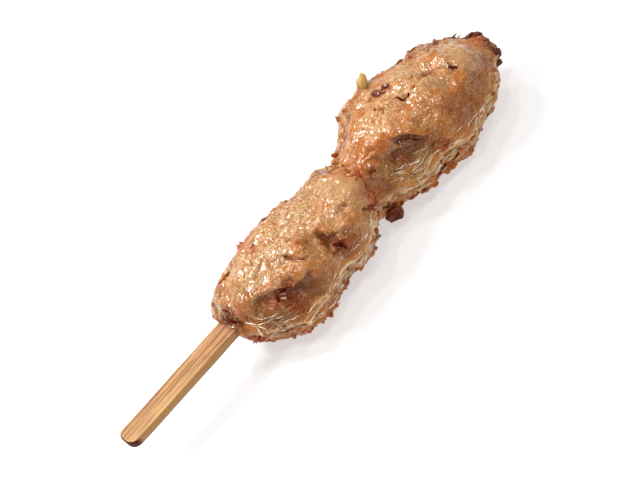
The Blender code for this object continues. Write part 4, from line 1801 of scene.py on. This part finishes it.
FAR_FOLDS = (
    Fold(
        FoldKind.LEDGE,
        (
            (47.4, 157), (45.8, 151), (44.4, 145), (43.5, 139),
            (42.2, 135), (40.8, 132), (39.0, 128), (36.5, 127),
        ),
        2.6,
        rise=1.2,
        fall=1.7,
    ),
    Fold(FoldKind.CREASE, CRACK, 0.6, fall=0.6),
    Fold(FoldKind.CREASE, SEAM, 0.6, fall=0.8),
    Fold(FoldKind.CREASE, ((72.0, 98), (70.6, 110), (69.8, 123)), 0.9, rise=0.6),
    Fold(FoldKind.CREASE, ((66.5, 80), (64.9, 92), (64.1, 112)), 1.0, rise=0.6),
    Fold(FoldKind.CREASE, ((52.5, 180), (49.0, 170), (45.0, 165)), 0.8, fall=0.9),
    Fold(FoldKind.CREASE, ((58.0, 112), (62.0, 122), (66.0, 140)), 1.6, fall=0.6),
    Fold(FoldKind.CREASE, ((32.0, 165), (36.0, 172), (42.0, 166)), 0.6, rise=0.5),
)


@dataclass
class BambooStick:
    """The flat stick, as on the solid, with softened edges and the grooves of its fibres.

    Its swell, grooves and cracks are depths, each with the size of its noise.
    """

    node: str = "stick"
    slot: str = "bamboo"
    voxel: float = 0.34 * MM
    groove: float = 0.13 * MM
    groove_size: float = 0.5 * MM
    crack: float = 0.2 * MM
    crack_size: float = 1.3 * MM
    crack_width: float = 0.06
    swell: float = 0.08 * MM
    swell_size: float = 7 * MM
    finish: BambooFinish = BambooFinish()

    def dress(self) -> None:
        """Builds the stick's skin and gives it its finish."""
        skin = even_copy(self.node, self.voxel, 4, 0)
        points = points_of(skin.data)
        normals = normals_of(skin.data)
        drawn_out = points * (0.02, 1, 1)
        fibres = noise_at(drawn_out, self.groove_size)
        cracks = noise_at(drawn_out * (0.6, 1, 1), self.crack_size)
        lift = self.groove * np.minimum(fibres, 0)
        lift -= self.crack * np.clip(1 - np.abs(cracks) / self.crack_width, 0, 1)
        lift += self.swell * noise_at(points, self.swell_size)
        put_points(skin.data, points + normals * lift[:, None])
        skin.data.materials.clear()
        skin.data.materials.append(self.finish.material())
        skin.data.shade_smooth()
        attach(skin, "root")
        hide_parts(self.node)
        LOG.info("%s: %d faces", skin.name, len(skin.data.polygons))


@dataclass(frozen=True)
class Studio:
    """The pale floor, the soft lights and the camera.

    The camera turns round the skewer, tilts down to it and rolls, in degrees, and aims at a place
    beside the origin, along the skewer and down in the picture.
    """

    lens: float = 100.0
    sensor_width: float = 36.0
    nearest: float = 0.05
    distance: float = 0.585
    turn: float = 10.0
    tilt: float = 43.0
    roll: float = 48.09
    aim_along: float = 0.72 * MM
    aim_down: float = 2.6 * MM
    sparks: tuple[Colour, ...] = (
        (0.15, 0.6, 0.65),
        (-0.3, 0.45, 0.7),
        (0.05, 0.1, 0.9),
        (-0.5, 0.2, 0.6),
        (0.35, -0.35, 0.8),
        (-0.1, -0.3, 0.85),
    )
    spark_size: float = 0.09
    spark_watts: float = 1.2
    key_at: Colour = (-0.3, 0.45, 0.9)
    key_size: float = 0.24
    key_watts: float = 4.4
    key_colour: Colour = (1.0, 0.98, 0.95)
    lit_height: float = 0.01
    floor_size: float = 3.0
    floor_glow: float = 0.55
    surroundings: float = 0.36

    def floor(self) -> None:
        """Lays the pale, softly glowing table top under the skewer."""
        bm = bmesh.new()
        bmesh.ops.create_grid(bm, x_segments=1, y_segments=1, size=self.floor_size)
        mesh = bpy.data.meshes.new("floor")
        bm.to_mesh(mesh)
        bm.free()
        floor = new_object("floor", mesh)
        material, _, _ = principled("pale_floor", {
            "Base Color": (0.5, 0.5, 0.5, 1),
            "Roughness": 0.9,
            "Emission Color": (1, 1, 1, 1),
            "Emission Strength": self.floor_glow,
        })
        mesh.materials.append(material)

    def light(self, name: str, at: Vector, size: float, watts: float, colour: Colour = (1, 1, 1)) -> None:
        """Adds one square softbox that faces the skewer.

        Args:
            name: The light's name.
            at: Where it stands.
            size: The length of its side.
            watts: Its power.
            colour: The tint of its light.
        """
        lamp = bpy.data.lights.new(name, "AREA")
        lamp.size = size
        lamp.energy = watts
        lamp.color = colour
        made = new_object(name, lamp)
        made.location = at
        made.rotation_mode = "QUATERNION"
        made.rotation_quaternion = (Vector((0, 0, self.lit_height)) - at).to_track_quat("-Z", "Y")

    def lights(self) -> None:
        """Adds the soft key light, the small ones that glint in the grease and the pale surroundings."""
        self.light("key", Vector(self.key_at), self.key_size, self.key_watts, self.key_colour)
        for index, at in enumerate(self.sparks):
            self.light(f"spark_{index + 1}", Vector(at), self.spark_size, self.spark_watts)
        world = bpy.data.worlds.new("surroundings")
        world.use_nodes = True
        background = world.node_tree.nodes["Background"]
        background.inputs["Color"].default_value = (1, 1, 1, 1)
        background.inputs["Strength"].default_value = self.surroundings
        bpy.context.scene.world = world

    def camera(self) -> None:
        """Sets the camera at the photograph's angle."""
        turn, tilt, roll = (math.radians(a) for a in (self.turn, self.tilt, self.roll))
        along = Vector((math.cos(turn), -math.sin(turn) * math.sin(tilt), math.sin(turn) * math.cos(tilt)))
        down = Vector((0, -math.cos(tilt), -math.sin(tilt)))
        back = Vector((-math.sin(turn), -math.cos(turn) * math.sin(tilt), math.cos(turn) * math.cos(tilt)))
        right = math.cos(roll) * along + math.sin(roll) * down
        up = math.sin(roll) * along - math.cos(roll) * down
        at = ORIGIN + along * self.aim_along + down * self.aim_down + back * self.distance
        lens = bpy.data.cameras.new("camera")
        lens.lens = self.lens
        lens.sensor_width = self.sensor_width
        lens.clip_start = self.nearest
        made = new_object("camera", lens)
        axes = Matrix((right, up, back)).transposed().to_4x4()
        made.matrix_world = Matrix.Translation(at) @ axes
        bpy.context.scene.camera = made


def main() -> None:
    """Builds and dresses the skewer, then the studio round it."""
    logging.basicConfig(level=logging.INFO, format="%(message)s")
    bpy.context.scene.view_settings.view_transform = "Standard"
    relief = MinceRelief().tree()
    scatter = CrumbScatter().tree()
    sweep = ThreadSweep().tree()
    fat = FatFinish().material()
    # The dark strands' material: burnt crust, and the painted shadow under the far ledge.
    burnt = FatFinish(
        "burnt_mince_and_shade",
        pale=linear(70, 8, 2),
        yellow=linear(104, 26, 4),
        coat=0.0,
        roughness=0.6,
        shine=0.05,
    ).material()
    lumps = (
        MinceLump(
            node="near_lump",
            slot="near_mince",
            seed=11,
            start=-41.5,
            end=21.5,
            finish=MinceFinish("near_mince"),
            spots=NEAR_SPOTS,
            folds=NEAR_FOLDS,
            scraps=NEAR_SCRAPS,
            strands=NEAR_STRANDS,
        ),
        MinceLump(
            node="far_lump",
            slot="far_mince",
            seed=42,
            start=21.9,
            end=89.9,
            finish=MinceFinish(
                "far_mince",
                cream=linear(232, 190, 140),
                pale=linear(204, 160, 108),
                tan=linear(184, 120, 52),
                olive=linear(136, 110, 60),
            ),
            spots=FAR_SPOTS,
            folds=FAR_FOLDS,
            scraps=FAR_SCRAPS,
            strands=FAR_STRANDS,
        ),
    )
    BambooStick().dress()
    for lump in lumps:
        skin = lump.skin(relief)
        lump.crumbs(skin, scatter)
        lump.fat(skin, sweep, fat)
        lump.add_scraps()
        lump.add_strands(skin, sweep, fat, dark=False)
        lump.add_strands(skin, sweep, burnt, dark=True)
        thin(skin)
        for piece in lump.pieces:
            LOG.info("%s: %d faces", piece.name, len(piece.data.polygons))
    studio = Studio()
    studio.floor()
    studio.lights()
    studio.camera()


if __name__ == "__main__":
    main()
